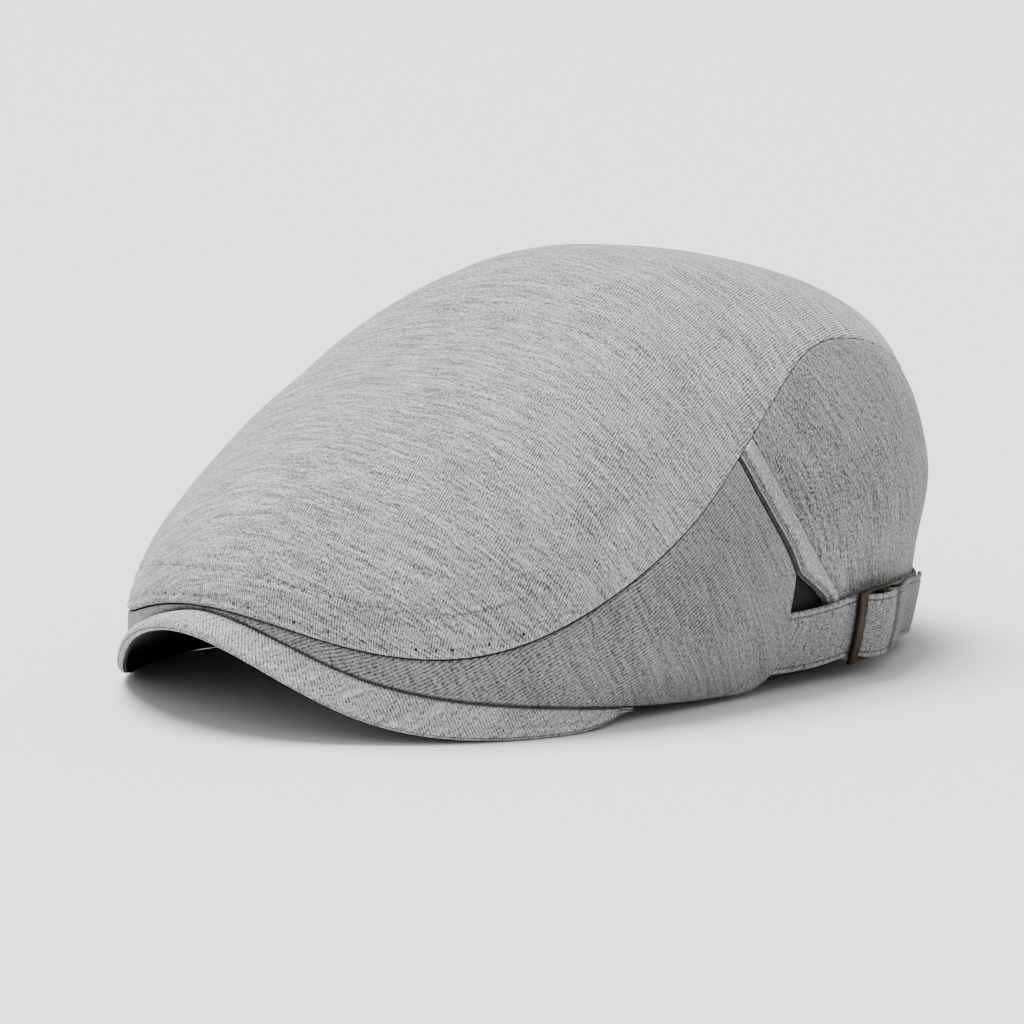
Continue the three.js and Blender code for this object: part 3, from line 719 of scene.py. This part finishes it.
def make_side_panel(name, sign):
    """The side panel at the wearer's left (sign 1) or right (sign -1)."""
    up = graded(62, 42)[None, :]
    across = graded(150, 118)[:, None]
    start = degrees_for(GAP / 2, CROWN_FRONT)
    if sign > 0:
        rear = slit_turn("side", up, -1)
    else:
        rear = mix(JOINT_HEM, JOINT_TOP, up) - degrees_for(GAP / 2, CROWN_SIDE)
    turn = mix(start, rear, across)
    up = np.broadcast_to(up, turn.shape)
    rise, off_seam, off_hem, cloth = lower_cloth(turn, up)
    off_rear = np.radians(rear - turn) * CROWN_SIDE
    off_front = np.radians(turn - start) * CROWN_FRONT
    lift = roll(off_seam, mix(1.0, 0.45, rearward(turn)), mix(1.2, 0.4, rearward(turn)))
    lift = lift + roll(off_rear, 1.0, 1.0) + roll(off_front, 0.8, 0.8) + roll(off_hem, 1.8, 1.5)
    tuck_line = bump(off_rear, 11 - 0.25 * off_hem, 0.7) * (1 - smooth(off_hem, 3, 16))
    lift = lift - 0.55 * tuck_line + 0.3 * bump(off_rear, 6, 3.5) * (1 - smooth(off_hem, 4, 22))
    calm = smooth(off_seam, 0.5, 8) * smooth(off_hem, 0, 6) * smooth(off_rear, 0, 8)
    points = lifted(sign * turn, rise, lift, 0.5, calm)
    # hem_row places the painted shade along the hem, only where the hem lies over the brim
    hem_row = uv_map(off_rear, off_hem + FAR * smooth(turn, 54, 60))
    if sign < 0:
        points, cloth, hem_row = points[::-1], cloth[::-1] * (-1, 1), hem_row[::-1]
    return grid_piece(name, points, {"cloth": cloth, "hem_row": hem_row}, thick=PANEL_THICK)


def binding_front(up):
    return slit_turn("back", up, 1)


def binding_rear(up):
    return binding_front(up) + degrees_for(BINDING_WIDTH * read_slit("binding", up), CROWN_SIDE)


def make_back_panel():
    up = graded(80, 56)
    up = up[up >= HEM_UP][None, :]
    across = graded(290, 190)[:, None]
    start = binding_rear(up) + degrees_for(GAP, CROWN_SIDE)
    end = 360 - mix(JOINT_HEM, JOINT_TOP, up) - degrees_for(GAP / 2, CROWN_SIDE)
    turn = mix(start, end, across)
    up = np.broadcast_to(up, turn.shape)
    rise, off_seam, off_hem, cloth = lower_cloth(turn, up)
    off_start = np.radians(turn - start) * CROWN_SIDE
    off_end = np.radians(end - turn) * CROWN_SIDE
    lift = roll(off_seam, 0.45, 0.4) + roll(off_start, 0.8, 0.5) + roll(off_end, 0.8, 0.8)
    lift = lift + roll(off_hem - off_hem[:, :1], 1.8, 1.5)
    calm = smooth(off_seam, 0.5, 8) * smooth(off_start, 0, 6) * smooth(off_end, 0, 8)
    points = lifted(turn, rise, lift, 0.55, calm)
    # start_row places the painted shade beside the panel's edge at the slit
    maps = {"cloth": cloth, "start_row": uv_map(off_hem, off_start)}
    return grid_piece("back_cloth", points, maps, thick=PANEL_THICK)


def make_slit_binding():
    """A folded strip along the slit: fine folds at its front, and a flat band behind them."""
    up = graded(66, 60)
    up = up[up >= HEM_UP][None, :]
    across = np.linspace(0, 1, 34)[:, None]
    front, rear = binding_front(up), binding_rear(up)
    turn = mix(front, rear, across)
    up = np.broadcast_to(up, turn.shape)
    rise, off_seam, off_hem, cloth = lower_cloth(turn, up)
    off_front = np.radians(turn - front) * CROWN_SIDE
    off_rear = np.radians(rear - turn) * CROWN_SIDE
    folds = sum(0.42 * bump(off_front, place, 0.27) for place in (0.55, 1.25, 1.95))
    flat = smooth(off_front, 2.2, 3.1)
    lift = mix(-0.35, BINDING_PROUD, flat) + folds * (1 - 0.5 * flat) + roll(off_rear, 0.9, 0.8)
    lift = lift + roll(off_seam, 0.8, 1.0) + 0.2 * bump(off_front, 4.6, 1.4) * flat
    # fold_row places the painted shade in the folds and the painted highlight on the flat band
    maps = {"cloth": cloth, "fold_row": uv_map(off_hem, off_front)}
    return grid_piece("binding_cloth", lifted(turn, rise, lift), maps, thick=PANEL_THICK)


def opening_tuck(turn):
    return BRIM_TUCK * np.maximum(0, TUCK_SHARE(folded(turn)))


def opening_lift(turn):
    return BRIM_LIFT * np.maximum(0, LIFT_SHARE(folded(turn)))


def make_lining():
    turn = np.linspace(0, 360, 241)[:, None]
    foot = np.interp(folded(turn), *zip(*LINING_FOOT))
    foot = foot - LINING_DIP * bump(folded(turn), DIP_TURN, DIP_WIDTH)
    rise = mix(foot, APEX, np.linspace(0, 1, 81)[None, :])
    depth = PANEL_THICK + LINING_GAP
    fade = np.maximum(0, 1 - rise / LINING_FADE) ** 2
    points = crown(turn, rise) - crown_out(turn, rise) * depth
    tuck = np.maximum(0, opening_tuck(turn) - PANEL_THICK - LINING_THICK) * fade
    points = points - polar(turn, tuck, 0)
    points[..., 2] += (opening_lift(turn) + GAP) * fade
    maps = {"cloth": apex_cloth(turn, rise)}
    return grid_piece("lining_cloth", points, maps, closed=True, thick=LINING_THICK)


# ---------------------------------------------------------------- brim


def brim_lines(turn):
    """The brim's main points at a turn: reach and height of its rim, seat, edge and lip."""
    edge = crown(turn, 0 * turn)
    reach = np.hypot(edge[..., 0], edge[..., 1])
    height = edge[..., 2]
    tip = TIP_TUCK * smooth(folded(turn), TIP_START, BRIM_TURN)
    return {
        "rim": (reach - opening_tuck(turn), height + opening_lift(turn)),
        "seat": (reach - PANEL_THICK - GAP, height - BRIM_SEAT),
        "edge": (reach, height - BRIM_SEAT),
        "lip": (reach + BRIM_SHOW * LIP_SHOW(turn) - tip, BRIM_THICK + BRIM_ARCH * LIP_ARCH(turn)),
    }


def between(a, b, t, bow=None):
    """A point between two of the brim's, as reach and height, bowed in height."""
    rise = t if bow is None else t + (bow - 0.5) * 4 * t * (1 - t)
    return mix(a[0], b[0], t), mix(a[1], b[1], rise)


def close_ends(piece):
    """Closes a hollow piece's open ends."""
    build = bmesh.new()
    build.from_mesh(piece.data)
    rims = [edge for edge in build.edges if edge.is_boundary]
    bmesh.ops.holes_fill(build, edges=rims, sides=0)
    bmesh.ops.recalc_face_normals(build, faces=build.faces)
    build.to_mesh(piece.data)
    build.free()
    return piece


def brim_body():
    """The brim's turns, main points and thickness, and its lip's centre, where the tip at the
    wearer's right is lowered to the ground."""
    turn = np.linspace(-BRIM_TURN, BRIM_TURN, 221)
    lines = brim_lines(turn)
    thick = BRIM_THICK * mix(BRIM_TIP, 1, smooth(BRIM_TURN - folded(turn), 0, TIP_TURN))
    lowered = (BRIM_THICK - thick) * smooth(-turn, 20, 40)
    return turn, lines, thick, (lines["lip"][0] - thick / 2, lines["lip"][1] - lowered)


def brim_skin(turn, stops, reach):
    """A skin through a brim's stops: its points, the distance round it, and its cloth's map, for
    which the brim is laid flat at a mean reach."""
    points = np.stack([polar(turn, *stop) for stop in stops], 1)
    around = run_length(points, 1)
    return points, around, uv_map(np.radians(turn)[:, None] * reach, around)


def make_brim():
    """The brim in one closed skin: over the top, round the lip and back under to the opening."""
    turn, lines, thick, lip = brim_body()
    half = thick / 2
    stops = [between(lines["rim"], lines["seat"], t, 1 - BRIM_BOW) for t in np.linspace(0, 1, 12)]
    seat_stop = len(stops) - 1
    for t in np.linspace(0, 1, 14)[1:]:
        reach, height = between(lines["edge"], lip, t, BRIM_BOW)
        stops.append((reach, height + 0.55 * np.sin(np.pi * t) ** 0.7))
    for angle in np.linspace(80, -90, 35):
        if angle == SEWN_EDGE:
            sewn_stop = len(stops)
        groove = 1 - 0.2 * bump(angle, SEWN_EDGE, 5)
        around = np.radians(angle)
        stops.append((lip[0] + half * groove * np.cos(around),
                      lip[1] - half + half * groove * np.sin(around)))
    under_lip = (lip[0], lip[1] - thick)
    under_edge = (lines["edge"][0], lines["edge"][1] - thick)
    for t in (0.03, 0.08, 0.2, 0.4, 0.6, 0.8, 1):
        reach, height = between(under_lip, under_edge, t, 1 - BRIM_BOW)
        stops.append((reach, height + 0.5 * min(1, t / 0.2)))
    for t in np.linspace(0, 1, 10)[1:]:
        reach, height = between(lines["edge"], lines["rim"], t, BRIM_BOW)
        stops.append((reach, height - thick + 0.5))
    points, around, cloth = brim_skin(turn, (*stops, stops[0]), BRIM_MEAN)
    maps = {"cloth": cloth[:, ::-1]}
    # seat_row and sewn_row place the painted shade where the brim meets the crown and in the lip's
    # sewn groove
    for label, stop in (("seat_row", seat_stop), ("sewn_row", sewn_stop)):
        maps[label] = uv_map(cloth[..., 0], around - around[:, stop:stop + 1])[:, ::-1]
    return close_ends(grid_piece("brim_cloth", points[:, ::-1], maps, closed=True))


def make_brim_underside():
    """The black cloth under the brim, sewn to the lip's inner edge. Its near-black is partly
    painted shade, standing in for the shade under the brim.
    """
    turn, lines, thick, lip = brim_body()
    turn, keep = turn[1:-1], slice(1, -1)
    under_lip = (lip[0][keep] - 0.6, lip[1][keep] - thick[keep] + 0.1)
    under_edge = (lines["edge"][0][keep], lines["edge"][1][keep] - thick[keep] + 0.3)
    rim = (lines["rim"][0][keep] + 0.2, lines["rim"][1][keep] - thick[keep] + 0.3)
    stops = []
    for t in (0, 0.05, 0.12, 0.2, 0.35, 0.5, 0.65, 0.8, 1):
        reach, height = between(under_lip, under_edge, t, 1 - BRIM_BOW)
        stops.append((reach, height + 0.2 * min(1, t / 0.12)))
    stops += [between(under_edge, rim, t, BRIM_BOW) for t in np.linspace(0, 1, 12)[1:]]
    points, _, cloth = brim_skin(turn, stops, UNDERSIDE_MEAN)
    return grid_piece("brim_underside", points, {"cloth": cloth}, thick=UNDERSIDE_THICK)


# ---------------------------------------------------------------- straps


BAND_REACH = float(np.linalg.norm(crown(110, 0.6)[:2]))
STRAP_FLAT = STRAP_LAY + STRAP_THICK / 2
STRAP_UNDER = SLIDE_LIFT - STRAP_THICK
STRAP_OVER = SLIDE_LIFT + SLIDE_THICK + GAP + STRAP_THICK / 2
FOLD_FACE = RIGHT_BAR - GAP - STRAP_THICK / 2


def band_point(along, off, up):
    """A point in the strap's frame: along it, off the crown's face, up from its lower edge."""
    along, off, up = np.broadcast_arrays(along, off, up)
    height = STRAP_HEIGHT(along) + up
    start_rise = rise_at_height(STRAP_TURN, height)
    start_turn = slit_turn("side", start_rise / seam_rise(STRAP_TURN), 1)
    lead = np.maximum(0, 1 - along / STRAP_LEAD)
    turn = STRAP_TURN + degrees_for(along, BAND_REACH) + lead * (start_turn - STRAP_TURN)
    rise = rise_at_height(turn, height)
    return crown(turn, rise) + crown_out(turn, rise) * off[..., None]


def smooth_path(path, step):
    """A path through the points given, in even steps, with rounded bends."""
    path = np.array(path, float)
    ends = np.concatenate([[2 * path[0] - path[1]], path, [2 * path[-1] - path[-2]]])
    fine = []
    for k in range(len(path) - 1):
        t = np.linspace(0, 1, 12, endpoint=False)[:, None]
        a, b, c, d = ends[k:k + 4]
        fine.append(0.5 * (2 * b + (c - a) * t + (2 * a - 5 * b + 4 * c - d) * t ** 2
                           + (3 * b - a - 3 * c + d) * t ** 3))
    fine = np.concatenate([*fine, path[-1:]])
    lengths = run_length(fine)
    count = max(2, int(lengths[-1] / step))
    even = np.linspace(0, lengths[-1], count)
    return np.stack([np.interp(even, lengths, fine[:, n]) for n in (0, 1)], 1), even


def strap(name, path):
    """A folded and stitched band along a path of along and off."""
    path, length = smooth_path(path, 0.8)
    heading = np.gradient(path, axis=0)
    heading /= np.linalg.norm(heading, axis=1, keepdims=True)
    face = np.stack([-heading[:, 1], heading[:, 0]], 1)
    half = STRAP_THICK / 2
    near = np.array([0.0, 0.06, 0.2, 0.45, 0.8, 1.2, 1.5, 1.75, 2.1, 2.6, 3.4, 4.6, 6.2])
    widths = np.concatenate([near, [STRAP_WIDTH / 2], STRAP_WIDTH - near[::-1]])
    edge = np.minimum(widths, STRAP_WIDTH - widths)
    puff = half * np.sqrt(1 - np.clip(1 - edge / 0.8, 0, 1) ** 2)
    puff = puff - 0.26 * bump(edge, STRAP_ROW, 0.4) + 0.1 * smooth(edge, STRAP_ROW, 5)
    ups = np.concatenate([widths, widths[-2::-1]])
    offs = np.concatenate([puff, -puff[-2::-1]])
    along = path[:, :1] + face[:, :1] * offs[None, :]
    off = path[:, 1:] + face[:, 1:] * offs[None, :]
    points = band_point(along, off, ups[None, :])
    around = np.concatenate([widths, 2 * STRAP_WIDTH - widths[-2::-1]])
    edges = np.concatenate([edge, edge[-2::-1]])
    run = length[:, None]
    # edge_row places the stitches and the painted highlights and shade beside them; end_row and
    # fold_row place the painted shade near the folded tail
    maps = {"cloth": uv_map(run, around), "edge_row": uv_map(run, edges - STRAP_ROW),
            "end_row": uv_map(around, run), "fold_row": uv_map(around, along - FOLD_FACE)}
    return close_ends(grid_piece(name, points, maps, closed=True))


def make_side_strap():
    return strap("side_strap_cloth", [
        *STRAP_START,
        (LEFT_BAR + BEND, STRAP_UNDER), (LEFT_BAR + SLIDE_BAR, STRAP_UNDER + DROP),
        (LEFT_BAR + SLIDE_BAR + 1.6 * BEND, STRAP_OVER - 1.6),
        (MIDDLE_BAR - 2.6 * BEND, STRAP_OVER + 0.2), (MIDDLE_BAR + SLIDE_BAR / 2, STRAP_OVER + 1.2),
        (MIDDLE_BAR + SLIDE_BAR + 3 * BEND, STRAP_OVER + 1.1),
        (FOLD_FACE - 1.6 * BEND, STRAP_OVER - 1.4), (FOLD_FACE - 1.8 * BEND, STRAP_FLAT + 1.2),
        (FOLD_FACE - BEND, STRAP_FLAT),
        (SLIDE_END, STRAP_FLAT), (SLIDE_END + STRAP_TAIL, STRAP_FLAT),
    ])


def make_back_strap():
    layer = STRAP_THICK + GAP
    inside = STRAP_FLAT + layer
    fold_end = SLIDE_END + STRAP_TAIL + BEND
    settled = fold_end + 1.5 * STRAP_TAIL
    joint = 360 - JOINT_HEM - degrees_for(SLIT_OPEN, CROWN_SIDE)
    end = (joint - STRAP_TURN) / degrees_for(1, BAND_REACH)
    return strap("back_strap_cloth", [
        *[(settled + FOLD_TAIL * (1 - t), inside) for t in np.linspace(0, 1, 6)],
        (fold_end, inside + layer),
        (SLIDE_END + DROP, STRAP_OVER), (RIGHT_BAR, STRAP_OVER),
        (FOLD_FACE + DROP, STRAP_OVER - DROP), (FOLD_FACE, STRAP_OVER - BEND),
        (FOLD_FACE, inside + BEND), (FOLD_FACE + DROP, inside + DROP),
        (RIGHT_BAR, inside), (fold_end, inside),
        *[(mix(settled, end, t), STRAP_FLAT) for t in np.linspace(0, 1, 27)],
    ])


def make_slide():
    """The slide's frame: a plate with two windows, its edges rounded."""
    half = mix(SLIDE_BAR, SLIDE_PITCH, 0.5)
    alongs = [LEFT_BAR - WIDER_LEFT,
              *(bar + x for bar in (LEFT_BAR, MIDDLE_BAR) for x in (SLIDE_BAR, half, SLIDE_PITCH)),
              SLIDE_END]
    low, high = -GAP, STRAP_WIDTH + GAP
    ups = [low - SLIDE_RAIL, *np.linspace(low, high, 5), high + SLIDE_RAIL]
    build = bmesh.new()
    bmesh.ops.create_grid(build, x_segments=len(alongs) - 1, y_segments=len(ups) - 1, size=0.5)
    for vertex in build.verts:
        column_at = round((vertex.co.x + 0.5) * (len(alongs) - 1))
        row_at = round((vertex.co.y + 0.5) * (len(ups) - 1))
        vertex.co = (alongs[column_at], ups[row_at], 0)
    windows = []
    for face in build.faces:
        middle = face.calc_center_median()
        if low < middle.y < high and not any(
                bar - WIDER_LEFT < middle.x < bar + SLIDE_BAR
                for bar in (LEFT_BAR, MIDDLE_BAR, RIGHT_BAR)):
            windows.append(face)
    bmesh.ops.delete(build, geom=windows, context="FACES")
    raised = bmesh.ops.extrude_face_region(build, geom=build.faces[:])
    risen = [item for item in raised["geom"] if isinstance(item, bmesh.types.BMVert)]
    bmesh.ops.translate(build, verts=risen, vec=(0, 0, SLIDE_THICK))
    bmesh.ops.recalc_face_normals(build, faces=build.faces)
    sharp = [edge for edge in build.edges if edge.calc_face_angle(0) > 1]
    bmesh.ops.bevel(build, geom=sharp, offset=0.42, offset_type="OFFSET", affect="EDGES",
                    segments=3, profile=0.5, material=-1)
    flat = np.array([vertex.co[:] for vertex in build.verts])
    placed = band_point(flat[:, 0], flat[:, 2] + SLIDE_LIFT, flat[:, 1])
    placed = (placed + CROWN_MIDDLE) * MM
    for vertex, place in zip(build.verts, placed):
        vertex.co = place
    bmesh.ops.recalc_face_normals(build, faces=build.faces)
    mesh = bpy.data.meshes.new("slide_frame")
    build.to_mesh(mesh)
    build.free()
    mesh.polygons.foreach_set("use_smooth", [True] * len(mesh.polygons))
    return add_object("slide_frame", mesh)


# ---------------------------------------------------------------- settings and operators


class CapSettings(bpy.types.PropertyGroup):
    """How light the cap's cloth and its straps' cloth are."""

    cloth_tone: bpy.props.FloatProperty(
        name="Cloth tone", description="How light the grey twill is", default=0.30, min=0, max=1,
        subtype="FACTOR")
    strap_tone: bpy.props.FloatProperty(
        name="Strap tone", description="How light the straps' cloth is", default=0.185, min=0,
        max=1, subtype="FACTOR")


class StageSettings(bpy.types.PropertyGroup):
    """The camera and the lights."""

    azimuth: bpy.props.FloatProperty(
        name="Azimuth", description="The camera's turn round the cap", default=math.radians(44.0),
        subtype="ANGLE")
    elevation: bpy.props.FloatProperty(
        name="Elevation", description="The camera's height over the floor",
        default=math.radians(8.55), subtype="ANGLE")
    tilt: bpy.props.FloatProperty(
        name="Tilt", description="The camera's turn about its own axis",
        default=math.radians(-0.57), subtype="ANGLE")
    distance: bpy.props.FloatProperty(
        name="Distance", description="From the camera to what it looks at", default=0.9507,
        subtype="DISTANCE")
    lens: bpy.props.FloatProperty(
        name="Lens", description="Focal length on a 36 mm sensor, in millimetres", default=122.48)
    key_power: bpy.props.FloatProperty(
        name="Key light", description="How strong the light from above is", default=7.3, min=0)
    room_light: bpy.props.FloatProperty(
        name="Room light", description="How bright the white room is", default=0.88, min=0)
    target: bpy.props.FloatVectorProperty(
        name="Target", description="What the camera looks at", default=(0.0387, -0.0479, 0.0524),
        subtype="TRANSLATION", unit="LENGTH")


class CAP_OT_panels(bpy.types.Operator):
    """Makes the top panel, both side panels and the back panel"""

    bl_idname = "flat_cap.panels"
    bl_label = "Panels"

    def execute(self, context):
        tone = context.scene.cap_settings.cloth_tone
        rows = (("seam_row", SEAM_PITCH, 0.5, 1.1), ("arc_row", ARC_PITCH, 0.34, 1.5))
        # The top's arc row has a line of painted shade in its groove
        top = twill("top_twill", tone, 107, 6, rows, (("arc_row", 0.42, 0.3, 0.4),), contrast=1.2)
        # The side panels are the top's cloth made darker as painted shade, with painted shade along
        # the hem over the brim
        side = twill("side_twill_shaded", tone * SIDE_PAINTED_SHADE, 34, 118,
                     shading_lines=(("hem_row", 0, 0.9, 0.65),), slub=0.8)
        # The back panel is the top's cloth made darker as painted shade, with painted shade beside
        # its edge at the slit
        back = twill("back_twill_shaded", tone * BACK_PAINTED_SHADE, 40, 104,
                     shading_lines=(("start_row", 0, 0.5, 0.35), ("start_row", 1.5, 2.0, 0.1)),
                     contrast=1.5, ribs=0.3, slub=0.8)
        fit_out(make_top_panel(), top, "panels", "top_panel")
        fit_out(make_side_panel("side_cloth_left", 1), side, "panels", "side_panel_left")
        fit_out(make_side_panel("side_cloth_right", -1), side, "panels", "side_panel_right")
        fit_out(make_back_panel(), back, "panels", "back_panel")
        return {"FINISHED"}


class CAP_OT_binding(bpy.types.Operator):
    """Makes the folded strip along the slit"""

    bl_idname = "flat_cap.binding"
    bl_label = "Slit binding"

    def execute(self, context):
        tone = context.scene.cap_settings.cloth_tone
        # Painted shade in the binding's folds at its front, and a painted highlight on its flat
        # band
        shading_lines = (("fold_row", 0.3, 0.9, 0.9), ("fold_row", 1.65, 0.36, 0.75),
                   ("fold_row", 2.45, 0.36, 0.65), ("fold_row", 4.2, 1.6, -0.1))
        # The binding is the top's cloth made lighter than the panels beside it, as painted light
        cloth = twill("binding_twill_lit", tone * BINDING_PAINTED_LIGHT, 60, 110, shading_lines=shading_lines, ribs=0.3,
                      slub=0.3)
        fit_out(make_slit_binding(), cloth, "panels", "slit_binding")
        return {"FINISHED"}


class CAP_OT_brim(bpy.types.Operator):
    """Makes the brim"""

    bl_idname = "flat_cap.brim"
    bl_label = "Brim"

    def execute(self, context):
        tone = context.scene.cap_settings.cloth_tone
        # Painted shade where the brim meets the crown's hem, and in the lip's sewn groove
        shading_lines = (("seat_row", 0.6, 1.2, 0.75), ("sewn_row", 0, 0.45, 0.85))
        # The brim is the top's cloth made lighter, as painted light
        cloth = twill("brim_twill_lit", tone * BRIM_PAINTED_LIGHT, 60, 135, shading_lines=shading_lines, slub=0.75)
        fit_out(make_brim(), cloth, "brim", "brim")
        # The underside's near-black is partly painted shade under the brim
        fit_out(make_brim_underside(), black_cloth("underside_black_shade"), "lining", "brim")
        return {"FINISHED"}


class CAP_OT_lining(bpy.types.Operator):
    """Makes the black lining"""

    bl_idname = "flat_cap.lining"
    bl_label = "Lining"

    def execute(self, context):
        fit_out(make_lining(), black_cloth("lining_black"), "lining", "lining")
        return {"FINISHED"}


class CAP_OT_straps(bpy.types.Operator):
    """Makes the side strap and the back strap"""

    bl_idname = "flat_cap.straps"
    bl_label = "Straps"

    def execute(self, context):
        tone = context.scene.cap_settings.strap_tone
        # Painted highlights on the ridges either side of the strap's stitch row, and painted shade
        # in its groove
        edges = (("edge_row", -0.8, 0.8, -0.22), ("edge_row", 0, 0.42, 0.6),
                 ("edge_row", 0.7, 0.4, -0.16))
        # Painted shade beside the fold at the slide's right bar, and near the folded tail's end
        folds = (("fold_row", 1.4, 2.0, 0.5), ("end_row", 2.2, 0.5, 0.4))
        jersey = {"rows": (("edge_row", 2.6, 0.25, 1.25),), "contrast": 1.15, "ribs": 0.3,
                  "slub": 0.5, "tint": (1, 0.985, 0.97)}
        cloth = twill("strap_jersey", tone, 20, 80, shading_lines=edges, **jersey)
        # The folded back strap is the side strap's cloth made darker as painted shade
        folded_cloth = twill("folded_jersey_shaded", tone * FOLDED_PAINTED_SHADE, 20, 80, shading_lines=edges + folds,
                             **jersey)
        fit_out(make_side_strap(), cloth, "straps", "side_strap")
        fit_out(make_back_strap(), folded_cloth, "straps", "back_strap")
        return {"FINISHED"}


class CAP_OT_slide(bpy.types.Operator):
    """Makes the metal slide"""

    bl_idname = "flat_cap.slide"
    bl_label = "Slide"

    def execute(self, context):
        fit_out(make_slide(), dark_brass("dark_brass"), "slide", "slide")
        return {"FINISHED"}


def look_from(eye, target, tilt):
    """A placing at eye that looks at target, turned about its own axis."""
    back = (eye - target).normalized()
    right = Vector((0, 0, 1)).cross(back).normalized()
    up = back.cross(right)
    turned_right = right * math.cos(tilt) + up * math.sin(tilt)
    turned_up = up * math.cos(tilt) - right * math.sin(tilt)
    placing = Matrix((turned_right, turned_up, back)).transposed().to_4x4()
    placing.translation = eye
    return placing


class CAP_OT_stage(bpy.types.Operator):
    """Sets up the floor, the lights and the camera"""

    bl_idname = "flat_cap.stage"
    bl_label = "Stage"

    def execute(self, context):
        stage = context.scene.stage_settings
        build = bmesh.new()
        bmesh.ops.create_grid(build, x_segments=4, y_segments=4, size=80)
        mesh = bpy.data.meshes.new("floor")
        build.to_mesh(mesh)
        build.free()
        paint = Finish("pale_floor")
        paint.shader.inputs["Base Color"].default_value = (0.8, 0.8, 0.8, 1)
        paint.shader.inputs["Roughness"].default_value = 0.9
        mesh.materials.append(paint.material)
        floor = add_object("floor", mesh)
        world = bpy.data.worlds.new("studio")
        world.use_nodes = True
        room = world.node_tree.nodes["Background"].inputs
        room["Color"].default_value = (1, 1, 1, 1)
        room["Strength"].default_value = stage.room_light
        context.scene.world = world
        sun = bpy.data.lights.new("key", "SUN")
        sun.energy = stage.key_power
        sun.angle = math.radians(35)
        lamp = add_object("key", sun)
        lamp.matrix_world = look_from(Vector((-0.8, 0.1, 2.0)), Vector((0, 0, 0.05)), 0)
        data = bpy.data.cameras.new("camera")
        data.lens = stage.lens
        data.sensor_width = 36
        data.clip_start = 0.01
        camera = add_object("camera", data)
        around, over = stage.azimuth, stage.elevation
        back = Vector((math.sin(around) * math.cos(over), -math.cos(around) * math.cos(over),
                       math.sin(over)))
        target = Vector(stage.target)
        camera.matrix_world = look_from(target + back * stage.distance, target, stage.tilt)
        context.scene.camera = camera
        return {"FINISHED"}


class CAP_PT_panel(bpy.types.Panel):
    """Lists the cap's pieces and their settings"""

    bl_idname = "CAP_PT_panel"
    bl_label = "Flat Cap"
    bl_space_type = "VIEW_3D"
    bl_region_type = "UI"
    bl_category = "Flat Cap"

    def draw(self, context):
        layout = self.layout
        for group in (context.scene.cap_settings, context.scene.stage_settings):
            for label in group.__annotations__:
                layout.prop(group, label)
        for operator in OPERATORS:
            layout.operator(operator.bl_idname)


OPERATORS = (CAP_OT_stage, CAP_OT_panels, CAP_OT_binding, CAP_OT_brim, CAP_OT_lining,
             CAP_OT_straps, CAP_OT_slide)
CLASSES = (CapSettings, StageSettings, *OPERATORS, CAP_PT_panel)


def register():
    for part in CLASSES:
        bpy.utils.register_class(part)
    bpy.types.Scene.cap_settings = bpy.props.PointerProperty(type=CapSettings)
    bpy.types.Scene.stage_settings = bpy.props.PointerProperty(type=StageSettings)


def unregister():
    del bpy.types.Scene.stage_settings
    del bpy.types.Scene.cap_settings
    for part in reversed(CLASSES):
        bpy.utils.unregister_class(part)


def main():
    register()
    steps = bpy.ops.flat_cap
    for step in (steps.stage, steps.panels, steps.binding, steps.brim, steps.lining,
                 steps.straps, steps.slide):
        step()


if __name__ == "__main__":
    main()
